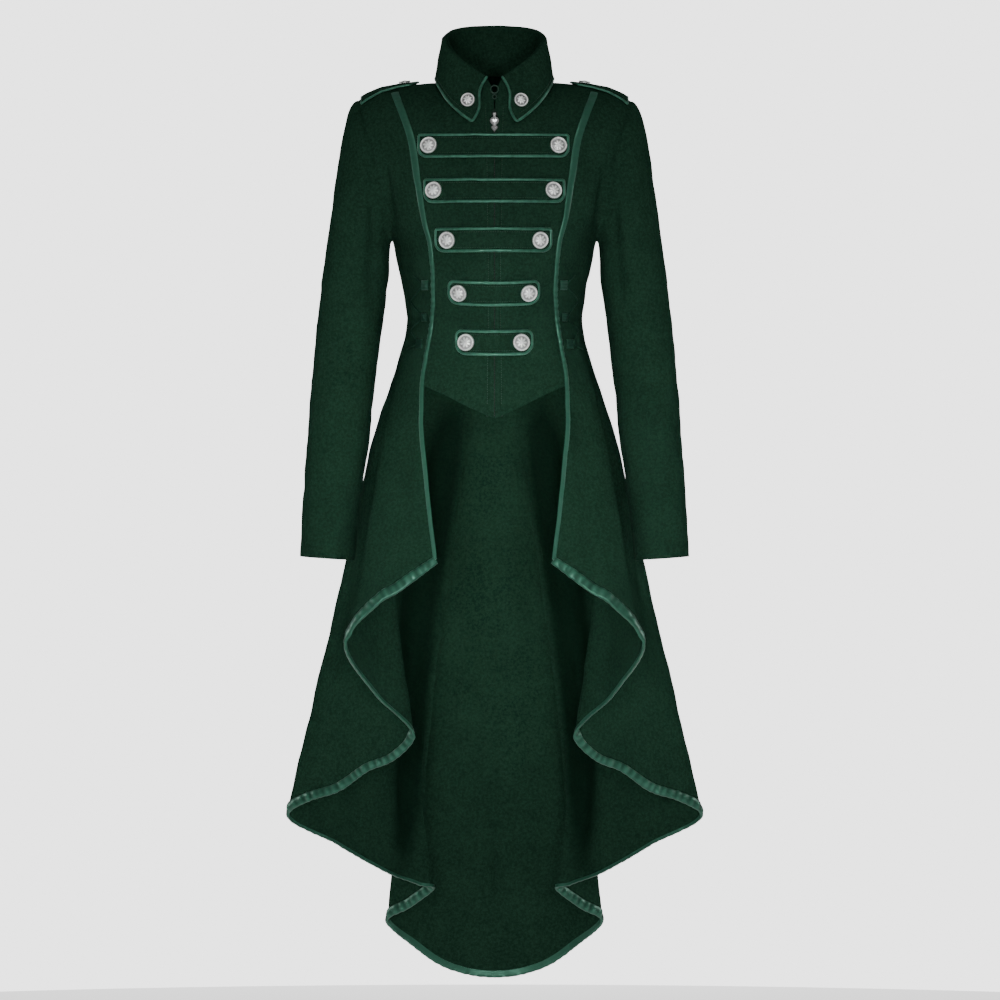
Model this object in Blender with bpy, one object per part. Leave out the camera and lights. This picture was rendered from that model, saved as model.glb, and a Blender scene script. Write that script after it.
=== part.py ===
"""Swallowtail coat with a short pointed front and a long tail, hollow as worn.

Metres, +Z up, the front faces -Y. The origin is between the shoulders at the neck.
Every cloth piece is a thin closed wall lofted through sections worked out from the tables.
"""

import math

import bmesh
import bpy
import numpy as np
from mathutils import Matrix, Vector

MM = 0.001


def table(names, *rows):
    """Named columns from rows in millimetres, sorted by the first column."""
    values = np.array(sorted(rows), float) * MM
    return dict(zip(names.split(), values.T))


# Cloth and seams
CLOTH = 1.9 * MM
COLLAR_CLOTH = 1.7 * MM
SEAM = 0.3 * MM
LIFT = 0.8 * MM
TRIM = 1.3 * MM

# Levels of the body
PIT = -215 * MM
HIP = -412 * MM
RIDGE_DEEP = 8 * MM
ROOF_FRONT = 75 * MM
ROOF_BACK = 100 * MM
FLATTER = 0.92
HALF_ZIP = 2.0 * MM
NECK_SIDE = 66 * MM

# Rows of each panel above the armpit, from there to the hip, and down to the hem
UPPER_ROWS = 7
MIDDLE_ROWS = 8
LOWER_ROWS = 9
HEM_ROW = 22 * MM

# Torso and skirt: height, half width, depth in front and depth behind
SECTIONS = table(
    "height side front back",
    (20, 222, 68, 88),
    (-2, 222, 70, 92),
    (-24, 221, 73, 98),
    (-52, 215, 79, 104),
    (-92, 200, 92, 109),
    (-159, 170, 114, 108),
    (-190, 153, 121, 105),
    (-215, 137.4, 123, 102),
    (-240, 132.5, 120, 99),
    (-270, 125.5, 112, 94),
    (-300, 120.5, 103, 90),
    (-325, 118.5, 98, 88),
    (-345, 121.5, 97, 89),
    (-375, 129.5, 100, 96),
    (-400, 137.5, 104, 104),
    (-429, 148, 109, 114),
    (-479, 165, 119, 128),
    (-560, 184, 135, 140),
    (-643, 202, 150, 150),
    (-820, 241, 172, 172),
    (-985, 278, 190, 190),
    (-1210, 300, 205, 205),
)

# Seams from the shoulder to the hem: distance from the middle, in front and behind
LINES = table(
    "height front back",
    (0, 133, 127),
    (-15, 129, 124),
    (-45, 118, 116),
    (-78, 107, 107),
    (-115, 101, 96),
    (-150, 96.5, 84),
    (-186, 91.5, 71),
    (-222, 83.5, 60),
    (-265, 79.5, 49),
    (-290, 79, 44),
    (-321, 81, 41),
    (-351, 85.5, 42),
    (-394, 92.5, 47),
    (-456, 95, 53),
    (-517, 90.5, 61),
    (-590, 83.5, 75),
    (-648, 77, 87),
    (-720, 77, 100),
    (-880, 77, 130),
    (-985, 77, 142),
    (-1100, 77, 130),
    (-1210, 77, 112),
)

# Top edge of the body: neckline in front and behind up to the side of the neck, then
# the shoulder; the ridge is where front and back would meet
TOP = table(
    "out front back ridge",
    (0, -38, 12, 36),
    (17, -37, 11.5, 34),
    (34, -33, 10, 28),
    (50, -23, 6.5, 16),
    (59, -12, 3.5, 7),
    (66, -1, -1, -1),
    (84, -1, -1, -1),
    (100, -2, -2, -2),
    (130, -5.5, -5.5, -5.5),
    (152, -10, -10, -10),
    (172, -18, -18, -18),
    (184, -25, -25, -25),
    (240, -60, -60, -60),
)

# Armhole: how far out the body panels reach above the armpit
ARMHOLE = table(
    "height out",
    (20, 190),
    (-25, 184),
    (-50, 177.5),
    (-92, 165.5),
    (-159, 152),
    (-190, 144.5),
    (-205, 140.5),
    (-215, 137.4),
)

# Lower edge of the middle front, by the share of the way from the zip to the seam
POINT = table(
    "share height",
    (0, -455),
    (160, -449),
    (370, -440),
    (700, -424),
    (1000, -412),
)

# Hem, by how far across the cloth (thousandths: 0 front edge, 1000 side seam, 2000 back
# seam, 3000 middle of the back): where it ends up, and where its fold starts
FOLDS = table(
    "across out deep height start",
    (0, 76, -166, -647, -415),
    (200, 126, -176, -684, -420),
    (340, 157, -175, -703, -430),
    (500, 199, -150, -761, -430),
    (620, 158, -106, -825, -380),
    (745, 110, -70, -886, -360),
    (800, 135, -55, -912, -360),
    (870, 171, -38, -928, -380),
    (940, 207, -20, -954, -400),
    (1030, 249, 1, -969, -400),
    (1120, 279, 24, -986, -400),
    (1350, 213, 54, -1031, -380),
    (1620, 151, 78, -1068, -360),
    (1950, 106, 94, -1087, -350),
    (2300, 91, 110, -1101, -350),
    (2430, 119, 130, -1122, -350),
    (2560, 148, 154, -1142, -350),
    (2680, 114, 183, -1175, -350),
    (2824, 67, 199, -1207, -350),
    (2912, 31, 204, -1218, -350),
    (3000, 0, 205, -1221, -350),
)

FOLD_GROWTH = 1.5

# Sleeve below the armpit: outer and inner edge, half its depth, and how far back it hangs
SLEEVE = table(
    "height outer inner depth deep",
    (-270, 233.5, 143.5, 56, 2),
    (-320, 238.5, 150, 53, 0),
    (-375, 244, 157, 50, -5),
    (-425, 248.5, 163, 48.5, -12),
    (-479, 252, 168, 47, -25),
    (-556, 257, 179, 44, -42),
    (-640, 261.5, 188, 42, -60),
)
SLEEVE_ROWS = 8
CAP_ROWS = 6
CAP_REACH = 22 * MM
CUFF_TILT = 5 * MM

# Collar, by how far round it is from the middle of the back (thousandths): top of the
# roll, and lower edge of the fall
COLLAR = table(
    "turn top_out top_deep top_height fall_out fall_deep fall_height",
    (0, 0, 74, 81, 0, 95, 14),
    (90, 22, 71, 80.5, 30, 92, 13),
    (180, 42, 60, 78, 55, 78, 11),
    (270, 57, 42, 73, 71, 56, 9),
    (370, 66, 16, 65, 79, 22, 7),
    (470, 68, -8, 57, 81, -12, 5),
    (580, 61.5, -32, 45, 74, -46, -10),
    (700, 50, -50, 33, 62, -66, -28),
    (850, 31, -66, 18, 45, -78, -45),
    (1000, 10.5, -74, 4, 30, -86, -56),
)
ROLL = 3.0 * MM
FALL_ROWS = 4
STAND_ROWS = 3
EDGE_SWAY = 3.0 * MM
COLLAR_PIPING = 3.6 * MM

# Chest tabs with their piping: right end, left end, top, bottom, sag and corner radii
TABS = (
    (-103.0, 100.0, -74.0, -106.6, 0.0, 3.5, 13.0),
    (-94.6, 94.3, -135.0, -167.6, 0.0, 3.5, 13.0),
    (-79.4, 76.4, -200.8, -233.2, 0.0, 3.5, 13.0),
    (-62.0, 60.2, -269.4, -302.0, 3.0, 9.0, 14.0),
    (-52.4, 51.2, -335.6, -369.6, 2.0, 10.0, 14.0),
)
TAB_BUTTONS = (
    (-87.5, 85.0, -90.3),
    (-80.4, 77.8, -151.0),
    (-61.8, 59.5, -217.0),
    (-47.0, 45.0, -287.0),
    (-37.5, 35.2, -354.0),
)
TAB_CLOTH = 1.5 * MM
PIPING = 3.6 * MM
PIPING_HEIGHT = 1.8 * MM

# Buttons: radius and profile shares
BUTTON = 11.6 * MM
COLLAR_BUTTON = 9.6 * MM
EPAULETTE_BUTTON = 8.0 * MM
BUTTON_STEPS = 14

# Bands on the princess seams and round the hem
BAND = table(
    "height width",
    (0, 10),
    (-120, 9.5),
    (-230, 6.5),
    (-1210, 6),
)
BAND_TOP = -15.5 * MM
HEM_BAND = 16 * MM
HEM_INSIDE = table(
    "across width",
    (0, 3),
    (2300, 3),
    (2560, 5),
    (2680, 8),
    (3000, 8),
)
HEM_CLOTH = 1.0 * MM

# Epaulettes
EPAULETTE_INNER = 100 * MM
EPAULETTE_OUTER = 180 * MM
EPAULETTE_HALF = (21 * MM, 29 * MM)
EPAULETTE_POINT = 11 * MM

# Zip, slider and pull
ZIP_HALF = 11 * MM
ZIP_TEETH = 1.4 * MM
ZIP_TOP = -40 * MM
SLIDER = (8 * MM, 11 * MM, 2.4 * MM)
SLIDER_HEIGHT = -50 * MM
BAR_RADIUS = 0.8 * MM
BARREL_RADIUS = 1.9 * MM
BARREL_BORE = 1.15 * MM
BARREL_HALF = 2.0 * MM
PULL_CLOTH = 1.4 * MM
PULL_TILT = math.radians(7)

# Side lacing on each side: loops beside the band, and the far turns of the lace
LOOPS = ((92, -276, 9, 13), (94, -319, 8, 11), (101, -355, 9, 13))
LACE_TURNS = ((108, -262), (112, -296), (112, -336), (118, -362))
LACE = 3.0 * MM


def smooth(rows, name, at):
    """Cubic curve through a table's column, with slopes from the neighbouring rows."""
    keys = next(iter(rows.values()))
    values = rows[name]
    at = np.clip(at, keys[0], keys[-1])
    slopes = np.gradient(values, keys)
    place = np.clip(np.searchsorted(keys, at, side="right") - 1, 0, len(keys) - 2)
    step = keys[place + 1] - keys[place]
    t = (at - keys[place]) / step
    start = values[place] * (1 + 2 * t) + slopes[place] * step * t
    end = values[place + 1] * (3 - 2 * t) - slopes[place + 1] * step * (1 - t)
    return start * (1 - t) ** 2 + end * t**2


def straight(rows, name, at):
    """Straight lines between a table's rows."""
    return np.interp(at, next(iter(rows.values())), rows[name])


def unit(vectors):
    return vectors / np.maximum(np.linalg.norm(vectors, axis=-1, keepdims=True), 1e-12)


def stacked(*parts):
    return np.stack(np.broadcast_arrays(*parts), axis=-1)


def ease(t):
    return (1 - np.cos(np.pi * t)) / 2


def depth_at(angle, height):
    """Depth of the torso's section at an angle from the middle of the front."""
    reach = np.abs(np.cos(angle)) ** FLATTER
    front = smooth(SECTIONS, "front", height)
    back = smooth(SECTIONS, "back", height)
    return np.where(np.cos(angle) >= 0, -front * reach, back * reach)


def rounding(angle, out, height):
    """0 on the shoulder ridge, 1 where the section has its full depth."""
    roof = np.where(np.cos(angle) >= 0, ROOF_FRONT, ROOF_BACK)
    drop = np.clip((straight(TOP, "ridge", out) - height) / roof, 0, 1)
    return np.sqrt(1 - (1 - drop) ** 2)


def torso(angle, height):
    """Point of the torso without folds, as distance out and depth."""
    out = smooth(SECTIONS, "side", height) * np.sin(angle)
    share = rounding(angle, out, height)
    return out, RIDGE_DEEP * (1 - share) + depth_at(angle, height) * share


def front_deep(out, height):
    """Depth of the front of the torso at a distance out and a height."""
    angle = np.arcsin(np.clip(np.abs(out) / smooth(SECTIONS, "side", height), 0, 1))
    return torso(angle, height)[1]


def girth_angle(across, height):
    """Angle round the section for a place across the cloth."""
    side = smooth(SECTIONS, "side", height)
    front_out = smooth(LINES, "front", height)
    back_out = smooth(LINES, "back", height)
    front = np.arcsin(np.clip(front_out / side, 0, 1))
    back = np.arcsin(np.clip(back_out / side, 0, 1))
    reach = np.clip(smooth(ARMHOLE, "out", height) / side, 0, 1)
    arm = np.where(height < PIT, np.pi / 2, np.arcsin(reach))
    middle = HALF_ZIP + (front_out - HALF_ZIP) * np.clip(across + 1, 0, 1)
    tail = back_out * np.clip(3 - across, 0, 1)
    return np.select(
        [across < 0, across <= 1, across < 2],
        [
            np.arcsin(np.clip(middle / side, 0, 1)),
            front + (arm - front) * across,
            np.pi - arm + (arm - back) * (across - 1),
        ],
        np.pi - np.arcsin(np.clip(tail / side, 0, 1)),
    )


def top_height(across):
    """Height of the top edge, where the column meets the neckline or the shoulder."""
    height = np.zeros_like(across)
    for _ in range(40):
        out = smooth(SECTIONS, "side", height) * np.sin(girth_angle(across, height))
        edge = np.where(across > 1, straight(TOP, "back", out), straight(TOP, "front", out))
        height = (height + edge) / 2
    return height


def coat(across, level):
    """Outer face of the coat's left half.

    Across: -1 at the zip, 0 at the front edge, 1 side seam, 2 back seam, 3 middle of the
    back. Level: 0 top edge, 1 armpit, 2 hip (or the pointed edge in front), 3 hem.
    """
    across, level = np.broadcast_arrays(np.asarray(across, float), np.asarray(level, float))
    top = top_height(across)
    skirt = np.clip(across, 0, 3)
    hip = np.where(across < 0, straight(POINT, "height", across + 1), HIP)
    hem = smooth(FOLDS, "height", skirt)
    upper = top + (PIT - top) * ease(np.clip(level, 0, 1))
    middle = PIT + (hip - PIT) * np.clip(level - 1, 0, 1)
    knee = 3 - 1 / LOWER_ROWS
    lower = hip + (hem + HEM_ROW - hip) * np.clip((level - 2) / (knee - 2), 0, 1)
    lowest = hem + HEM_ROW * np.clip((3 - level) / (3 - knee), 0, 1)
    height = np.select([level < 1, level < 2, level < knee], [upper, middle, lower], lowest)
    out, deep = torso(girth_angle(across, height), height)
    hem_out, hem_deep = torso(girth_angle(across, hem), hem)
    start = smooth(FOLDS, "start", skirt)
    share = np.clip((start - height) / (start - hem), 0, 1)
    share = np.where(across < 0, 0, share**FOLD_GROWTH)
    out = out + (smooth(FOLDS, "out", skirt) - hem_out) * share
    deep = deep + (smooth(FOLDS, "deep", skirt) - hem_deep) * share
    return stacked(out, deep, height)


def coat_normal(across, level, limits):
    """Outward direction of the coat, from small steps kept inside the panel."""
    step = 0.004
    low, high = limits
    after = coat(np.clip(across + step, low, high), level)
    before = coat(np.clip(across - step, low, high), level)
    below = coat(across, np.clip(level + step, 0, 3))
    above = coat(across, np.clip(level - step, 0, 3))
    return unit(np.cross(below - above, after - before))


def front_point(out, height):
    """Points and outward directions on the front, from distances out and heights."""
    step = 1 * MM
    out, height = np.broadcast_arrays(np.asarray(out, float), np.asarray(height, float))
    here = stacked(out, front_deep(out, height), height)
    sideways = stacked(out + step, front_deep(out + step, height), height)
    sideways = sideways - stacked(out - step, front_deep(out - step, height), height)
    upward = stacked(out, front_deep(out, height + step), height + step)
    upward = upward - stacked(out, front_deep(out, height - step), height - step)
    return here, unit(np.cross(sideways, upward))


def clear_scene():
    for item in list(bpy.data.objects):
        bpy.data.objects.remove(item, do_unlink=True)


def new_collection(name, cutters=False):
    found = bpy.data.collections.new(name)
    bpy.context.scene.collection.children.link(found)
    found.hide_render = cutters
    return found


clear_scene()
COAT = new_collection("swallowtail_coat")
CUTTERS = new_collection("cutters", cutters=True)


def material(name, colour, roughness, metallic=0.0):
    made = bpy.data.materials.new(name)
    made.use_nodes = True
    shader = made.node_tree.nodes["Principled BSDF"]
    shader.inputs["Base Color"].default_value = (*colour, 1)
    shader.inputs["Roughness"].default_value = roughness
    shader.inputs["Metallic"].default_value = metallic
    return made


WOOL = (0.008, 0.032, 0.018)
SATIN = (0.035, 0.125, 0.07)
LACING = (0.014, 0.05, 0.029)
SILVER = (0.62, 0.63, 0.64)
DARK_METAL = (0.06, 0.07, 0.065)


def add_mesh(name, points, faces, colour, roughness, metallic=0.0, rounded=True):
    """A closed body from points and faces, turned outwards, with its own material."""
    mesh = bpy.data.meshes.new(name)
    mesh.from_pydata([tuple(map(float, point)) for point in points], [], faces)
    work = bmesh.new()
    work.from_mesh(mesh)
    bmesh.ops.recalc_face_normals(work, faces=work.faces)
    work.to_mesh(mesh)
    work.free()
    mesh.polygons.foreach_set("use_smooth", [rounded] * len(mesh.polygons))
    made = bpy.data.objects.new(name, mesh)
    made.data.materials.append(material(name + "_finish", colour, roughness, metallic))
    COAT.objects.link(made)
    return made


def wall(name, outer, inner, closed=False, colour=WOOL, roughness=0.9):
    """Closed wall between two grids of points; a closed one runs round as a tube."""
    rows, columns = outer.shape[:2]
    last = columns if closed else columns - 1
    shift = rows * columns
    faces = []
    for row in range(rows - 1):
        for column in range(last):
            beside = (column + 1) % columns
            a = row * columns + column
            b = row * columns + beside
            c = b + columns
            d = a + columns
            faces += [(a, b, c), (a, c, d)]
            faces += [
                (c + shift, b + shift, a + shift),
                (d + shift, c + shift, a + shift),
            ]
    for column in range(last):
        beside = (column + 1) % columns
        foot = (rows - 1) * columns
        faces.append((column, column + shift, beside + shift, beside))
        faces.append((foot + beside, foot + beside + shift, foot + column + shift, foot + column))
    if not closed:
        for row in range(rows - 1):
            a = row * columns
            b = a + columns
            c = a + columns - 1
            d = b + columns - 1
            faces.append((a, b, b + shift, a + shift))
            faces.append((c, c + shift, d + shift, d))
    points = np.concatenate([outer.reshape(-1, 3), inner.reshape(-1, 3)])
    return add_mesh(name, points, faces, colour, roughness)


def strip(name, sections, closed=False, colour=SATIN, roughness=0.42, turned=()):
    """Closed body lofted along a list of like sections, each a ring of points. The sides
    after the turned corners are split along their other diagonal."""
    count, ring = sections.shape[:2]
    faces = []
    for place in range(count if closed else count - 1):
        here = place * ring
        there = (place + 1) % count * ring
        for corner in range(ring):
            beside = (corner + 1) % ring
            a, b = here + corner, here + beside
            c, d = there + beside, there + corner
            faces += [(a, b, d), (b, c, d)] if corner in turned else [(a, b, c), (a, c, d)]
    if not closed:
        faces.append(tuple(range(ring)))
        faces.append(tuple((count - 1) * ring + corner for corner in range(ring)))
    return add_mesh(name, sections.reshape(-1, 3), faces, colour, roughness)


def drawn_in(grid, inner, amount=SEAM / 2):
    """Moves the edges of a wall's two grids inwards along the cloth."""
    outer = grid.copy()
    inside = inner.copy()
    steps = (
        (np.s_[0], np.s_[1]),
        (np.s_[-1], np.s_[-2]),
        (np.s_[:, 0], np.s_[:, 1]),
        (np.s_[:, -1], np.s_[:, -2]),
    )
    for edge, next_in in steps:
        move = unit(grid[next_in] - grid[edge]) * amount
        outer[edge] += move
        inside[edge] += move
    return outer, inside


def sided(points, side):
    """The same points on the wearer's left (+1) or right (-1)."""
    return points * np.array([side, 1.0, 1.0])


SIDES = ((1, "left"), (-1, "right"))
LEVELS = np.concatenate(
    [
        np.linspace(0, 1, UPPER_ROWS + 1),
        np.linspace(1, 2, MIDDLE_ROWS + 1)[1:],
        np.linspace(2, 3, LOWER_ROWS + 1)[1:],
    ]
)
BODICE_LEVELS = LEVELS[LEVELS <= 2]


def neck_across(behind):
    """Place across the cloth where the neckline reaches the side of the neck."""
    name = "back" if behind else "front"
    share = NECK_SIDE / smooth(LINES, name, straight(TOP, name, NECK_SIDE))
    return float(3 - share if behind else share - 1)


NECK_SHARES = np.array([0, 0.32, 0.6, 0.77, 0.88, 0.955, 1])
NECK_FRONT = NECK_SHARES * (neck_across(False) + 1) - 1
NECK_BACK = np.linspace(neck_across(True), 3, 7)
PANELS = {
    "centre_front": np.concatenate([NECK_FRONT, np.linspace(NECK_FRONT[-1], 0, 4)[1:]]),
    "side_front": np.array([0, 0.2, 0.34, 0.42, 0.5, 0.56, 0.62, 0.68, 0.745, 0.8, 0.87, 0.94, 1]),
    "side_back": np.array([1 + 1e-7, 1.06, 1.12, 1.2, 1.35, 1.55, 1.78, 2]),
    "centre_back": np.concatenate([[2, 2.16, 2.3, 2.37, 2.43], NECK_BACK]),
}


def panel_grids(name):
    """Outer and inner grids of one panel of the left half, rows from top to hem."""
    columns = PANELS[name]
    levels = BODICE_LEVELS if name == "centre_front" else LEVELS
    across, level = np.meshgrid(columns, levels)
    outer = coat(across, level)
    normal = coat_normal(across, level, (columns[0], columns[-1]))
    return outer, outer - normal * CLOTH, normal


GRIDS = {name: panel_grids(name) for name in PANELS}

for name, (outer, inner, _) in GRIDS.items():
    for side, word in SIDES:
        wall(f"{name}_{word}", *drawn_in(sided(outer, side), sided(inner, side)))


def armhole_ring():
    """Ring of points and directions round the left armhole, from the shoulder down the
    front to the armpit and up the back."""
    front, _, front_normal = (grid[: UPPER_ROWS + 1, -1] for grid in GRIDS["side_front"])
    back, _, back_normal = (grid[: UPPER_ROWS + 1, 0] for grid in GRIDS["side_back"])
    ring = np.concatenate([front, back[-2:0:-1]])
    normal = np.concatenate([front_normal, back_normal[-2:0:-1]])
    return ring, normal


def sleeve_ring(height, turn):
    """Level section of the sleeve; turn is 0 outside, half a circle at the inner side."""
    outer = smooth(SLEEVE, "outer", height)
    inner = smooth(SLEEVE, "inner", height)
    middle = (outer + inner) / 2
    half = (outer - inner) / 2
    out = middle + half * np.cos(turn)
    deep = smooth(SLEEVE, "deep", height) - smooth(SLEEVE, "depth", height) * np.sin(turn)
    low = SLEEVE["height"][0]
    tilt = CUFF_TILT * np.clip((height + 0.5) / (low + 0.5), 0, 1) * (np.cos(turn) - 1) / 2
    return stacked(out, deep, height + tilt)


def sleeve_grids():
    """Outer and inner grids of the left sleeve: a rounded cap, then the arm."""
    ring, ring_normal = armhole_ring()
    count = len(ring)
    turn = np.linspace(0, 2 * np.pi, count, endpoint=False)
    top = SLEEVE["height"][-1]
    joined = sleeve_ring(top, turn)
    away = unit(ring_normal * [0.35, 0.35, 0.1] + np.array([1, 0, -0.12]))
    reach = CAP_REACH * (0.62 + 0.38 * np.cos(turn))[:, None]
    rise = (ring[:, 2] - top)[:, None] * 0.62
    slope = (sleeve_ring(top, turn) - sleeve_ring(top - 0.02, turn)) / 0.02
    first = ring + away * reach
    lean = np.where(np.cos(turn) > 0, 1.5, 0.6)[:, None]
    second = joined + slope * np.concatenate([lean, lean * 0 + 1, lean * 0 + 1], axis=1) * rise
    rows = []
    for t in np.linspace(0, 1, CAP_ROWS + 1) ** 1.35:
        rows.append(
            ring * (1 - t) ** 3
            + first * 3 * t * (1 - t) ** 2
            + second * 3 * t**2 * (1 - t)
            + joined * t**3
        )
    for height in np.linspace(top, SLEEVE["height"][0], SLEEVE_ROWS + 1)[1:]:
        rows.append(sleeve_ring(height, turn))
    grid = np.array(rows)
    round_way = np.roll(grid, -1, axis=1) - np.roll(grid, 1, axis=1)
    down_way = np.gradient(grid, axis=0)
    normal = unit(np.cross(round_way, down_way))
    normal[0] = ring_normal
    grid[0] += unit(grid[1] - grid[0]) * SEAM
    return grid, grid - normal * CLOTH


SLEEVE_GRIDS = sleeve_grids()
for side, word in SIDES:
    outer, inner = (sided(grid, side) for grid in SLEEVE_GRIDS)
    wall(f"sleeve_{word}", outer, inner, closed=True)


def collar_seat():
    """Points of the left half of the neckline from the middle of the back to the zip,
    with the outward directions there."""
    back, _, back_normal = GRIDS["centre_back"]
    front, _, front_normal = GRIDS["centre_front"]
    behind = back[0, -len(NECK_BACK) :][::-1]
    before = front[0, : len(NECK_FRONT)][::-1]
    directions = (back_normal[0, -len(NECK_BACK) :][::-1], front_normal[0, : len(NECK_FRONT)][::-1])
    return np.concatenate([behind, before[1:]]), np.concatenate([directions[0], directions[1][1:]])


def collar_grids():
    """Outer and inner grids of the stand and of the fall, left half, back to front."""
    seat, _ = collar_seat()
    walked = np.concatenate([[0], np.cumsum(np.linalg.norm(np.diff(seat, axis=0), axis=1))])
    turn = walked / walked[-1]
    top = stacked(*(smooth(COLLAR, f"top_{part}", turn) for part in ("out", "deep", "height")))
    edge = stacked(*(smooth(COLLAR, f"fall_{part}", turn) for part in ("out", "deep", "height")))
    rest = front_deep(edge[:, 0], edge[:, 2]) - 6 * MM
    edge[:, 1] = np.where(edge[:, 1] < -30 * MM, np.minimum(edge[:, 1], rest), edge[:, 1])
    along = unit(np.gradient(top, axis=0))
    outward = unit(np.cross(along, np.array([0, 0, 1.0])))
    outward *= np.sign(np.sum(outward * (top - [0, -0.01, 0]), axis=1, keepdims=True))
    outward[0] = [0, 1, 0]
    up = unit(np.cross(outward, along))
    up *= np.sign(up[:, 2:])

    inside = top - outward * ROLL - up * ROLL
    base = seat + np.array([0, 0, SEAM * 1.5])
    stand = []
    for t in np.linspace(0, 1, STAND_ROWS + 1):
        row = base + (inside - base) * t
        row[:, 0] -= (inside - base)[:, 0] * (t - t**3) * turn**6
        stand.append(row)
    stand += [top - outward * ROLL * 0.7 - up * ROLL * 0.3, top]
    outside = top + outward * ROLL - up * ROLL
    fall = [top, top + outward * ROLL * 0.7 - up * ROLL * 0.3]
    sway = EDGE_SWAY * turn**10
    for t in np.linspace(0, 1, FALL_ROWS + 1):
        row = outside + (edge - outside) * t
        row[:, 0] += sway * np.sin(2 * np.pi * t)
        fall.append(row)
    return np.array(stand), np.array(fall)


def across_zip(grid):
    """A left half grid from the back to the front becomes a whole one round the neck."""
    mirrored = sided(grid, -1)[:, ::-1]
    return np.concatenate([mirrored, grid[:, 1:]], axis=1)


def grid_normal(grid):
    return unit(np.cross(np.gradient(grid, axis=1), np.gradient(grid, axis=0)))


STAND, FALL = (across_zip(grid) for grid in collar_grids())


def facing_out(grid, normal, row):
    """Turns the directions so that they point away from the neck on one row."""
    centre = np.array([0, 0, 0])
    away = np.sum(normal[row] * (grid[row] - centre) * [1, 1, 0])
    return normal * np.sign(away)


def collar_wall(name, grid, row, roughness=0.9):
    normal = facing_out(grid, grid_normal(grid), row)
    outer, inner = drawn_in(grid, grid - normal * COLLAR_CLOTH)
    wall(name, outer, inner, roughness=roughness)
    return outer, normal


collar_wall("collar_stand", STAND, 1)
FALL_OUTER, FALL_NORMAL = collar_wall("collar_fall", FALL, -1)


def edge_cord(name, edge, outward, normal, width, high, low, closed=False):
    """Cord with a square section set just outside an edge."""
    near = edge + outward * SEAM
    far = edge + outward * (SEAM + width)
    sections = np.stack(
        [near + normal * high, far + normal * high, far - normal * low, near - normal * low],
        axis=1,
    )
    return strip(name, sections, closed=closed)


def collar_cord():
    """Piping down one front edge of the fall, round its lower edge and up the other."""
    rows = slice(3, -1)
    left = FALL_OUTER[rows, -1]
    right = FALL_OUTER[rows, 0]
    low = FALL_OUTER[-1]
    edge = np.concatenate([right, low, left[::-1]])
    out_left = unit(FALL_OUTER[rows, -1] - FALL_OUTER[rows, -2])
    out_right = unit(FALL_OUTER[rows, 0] - FALL_OUTER[rows, 1])
    out_low = unit(FALL_OUTER[-1] - FALL_OUTER[-2])
    out_low[0] = unit(out_low[0] + out_right[-1] * 0.8) * 1.35
    out_low[-1] = unit(out_low[-1] + out_left[-1] * 0.8) * 1.35
    outward = np.concatenate([out_right, out_low, out_left[::-1]])
    normal = np.concatenate(
        [FALL_NORMAL[rows, 0], FALL_NORMAL[-1], FALL_NORMAL[rows, -1][::-1]]
    )
    edge_cord("collar_piping", edge, outward, normal, COLLAR_PIPING, 0.7 * MM, 2.3 * MM)


collar_cord()


def tab_outline(right, left, top, bottom, sag, top_round, bottom_round, inset):
    """Upper and lower edges of a tab at like distances across, rounded at the corners."""
    right, left = right + inset, left - inset
    top, bottom = top - inset, bottom + inset
    top_round, bottom_round = max(top_round - inset, 0.8), max(bottom_round - inset, 2.0)
    near = np.array([0, 0.12, 0.4, 1.0]) * bottom_round
    middle = np.linspace(right + bottom_round, left - bottom_round, 8)[1:-1]
    out = np.concatenate([right + near, middle, (left - near)[::-1]])
    end = np.minimum(out - right, left - out)

    def corner(radius):
        short = np.clip(radius - end, 0, radius)
        return radius - np.sqrt(radius**2 - short**2)

    share = (out - right) / (left - right)
    drop = sag * 4 * share * (1 - share)
    upper = top - corner(top_round) - drop
    lower = bottom + corner(bottom_round) - drop
    return out * MM, upper * MM, lower * MM


def outline_outward(loop):
    """Sideways directions of a closed flat outline that runs round clockwise."""
    along = unit(np.roll(loop, -1, axis=0) - loop)
    before = unit(loop - np.roll(loop, 1, axis=0))
    turned = unit(along + before)
    outward = np.stack([-turned[:, 1], turned[:, 0]], axis=1)
    cosine = np.clip(np.sum(turned * along, axis=1), 0.6, 1)
    return outward / cosine[:, None]


def chest_tab(number, row):
    out, upper, lower = tab_outline(*row, inset=PIPING / MM + SEAM / MM)
    rows = np.stack([upper, (upper + lower) / 2, lower])
    points, normal = front_point(np.stack([out, out, out]), rows)
    high = points + normal * (LIFT + TAB_CLOTH)
    low = points + normal * LIFT
    wall(f"chest_tab_{number}", high, low)
    loop = np.stack(
        [np.concatenate([out, out[::-1]]), np.concatenate([upper, lower[::-1]])], axis=1
    )
    away = outline_outward(loop)
    rings = []
    for distance, height in ((0, 1), (1, 1), (1, 0), (0, 0)):
        moved = loop + away * (SEAM + PIPING * distance)
        points, normal = front_point(moved[:, 0], moved[:, 1])
        rings.append(points + normal * (LIFT + PIPING_HEIGHT * height))
    strip(f"chest_piping_{number}", np.stack(rings, axis=1), closed=True)


for number, row in enumerate(TABS, 1):
    chest_tab(number, row)


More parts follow.
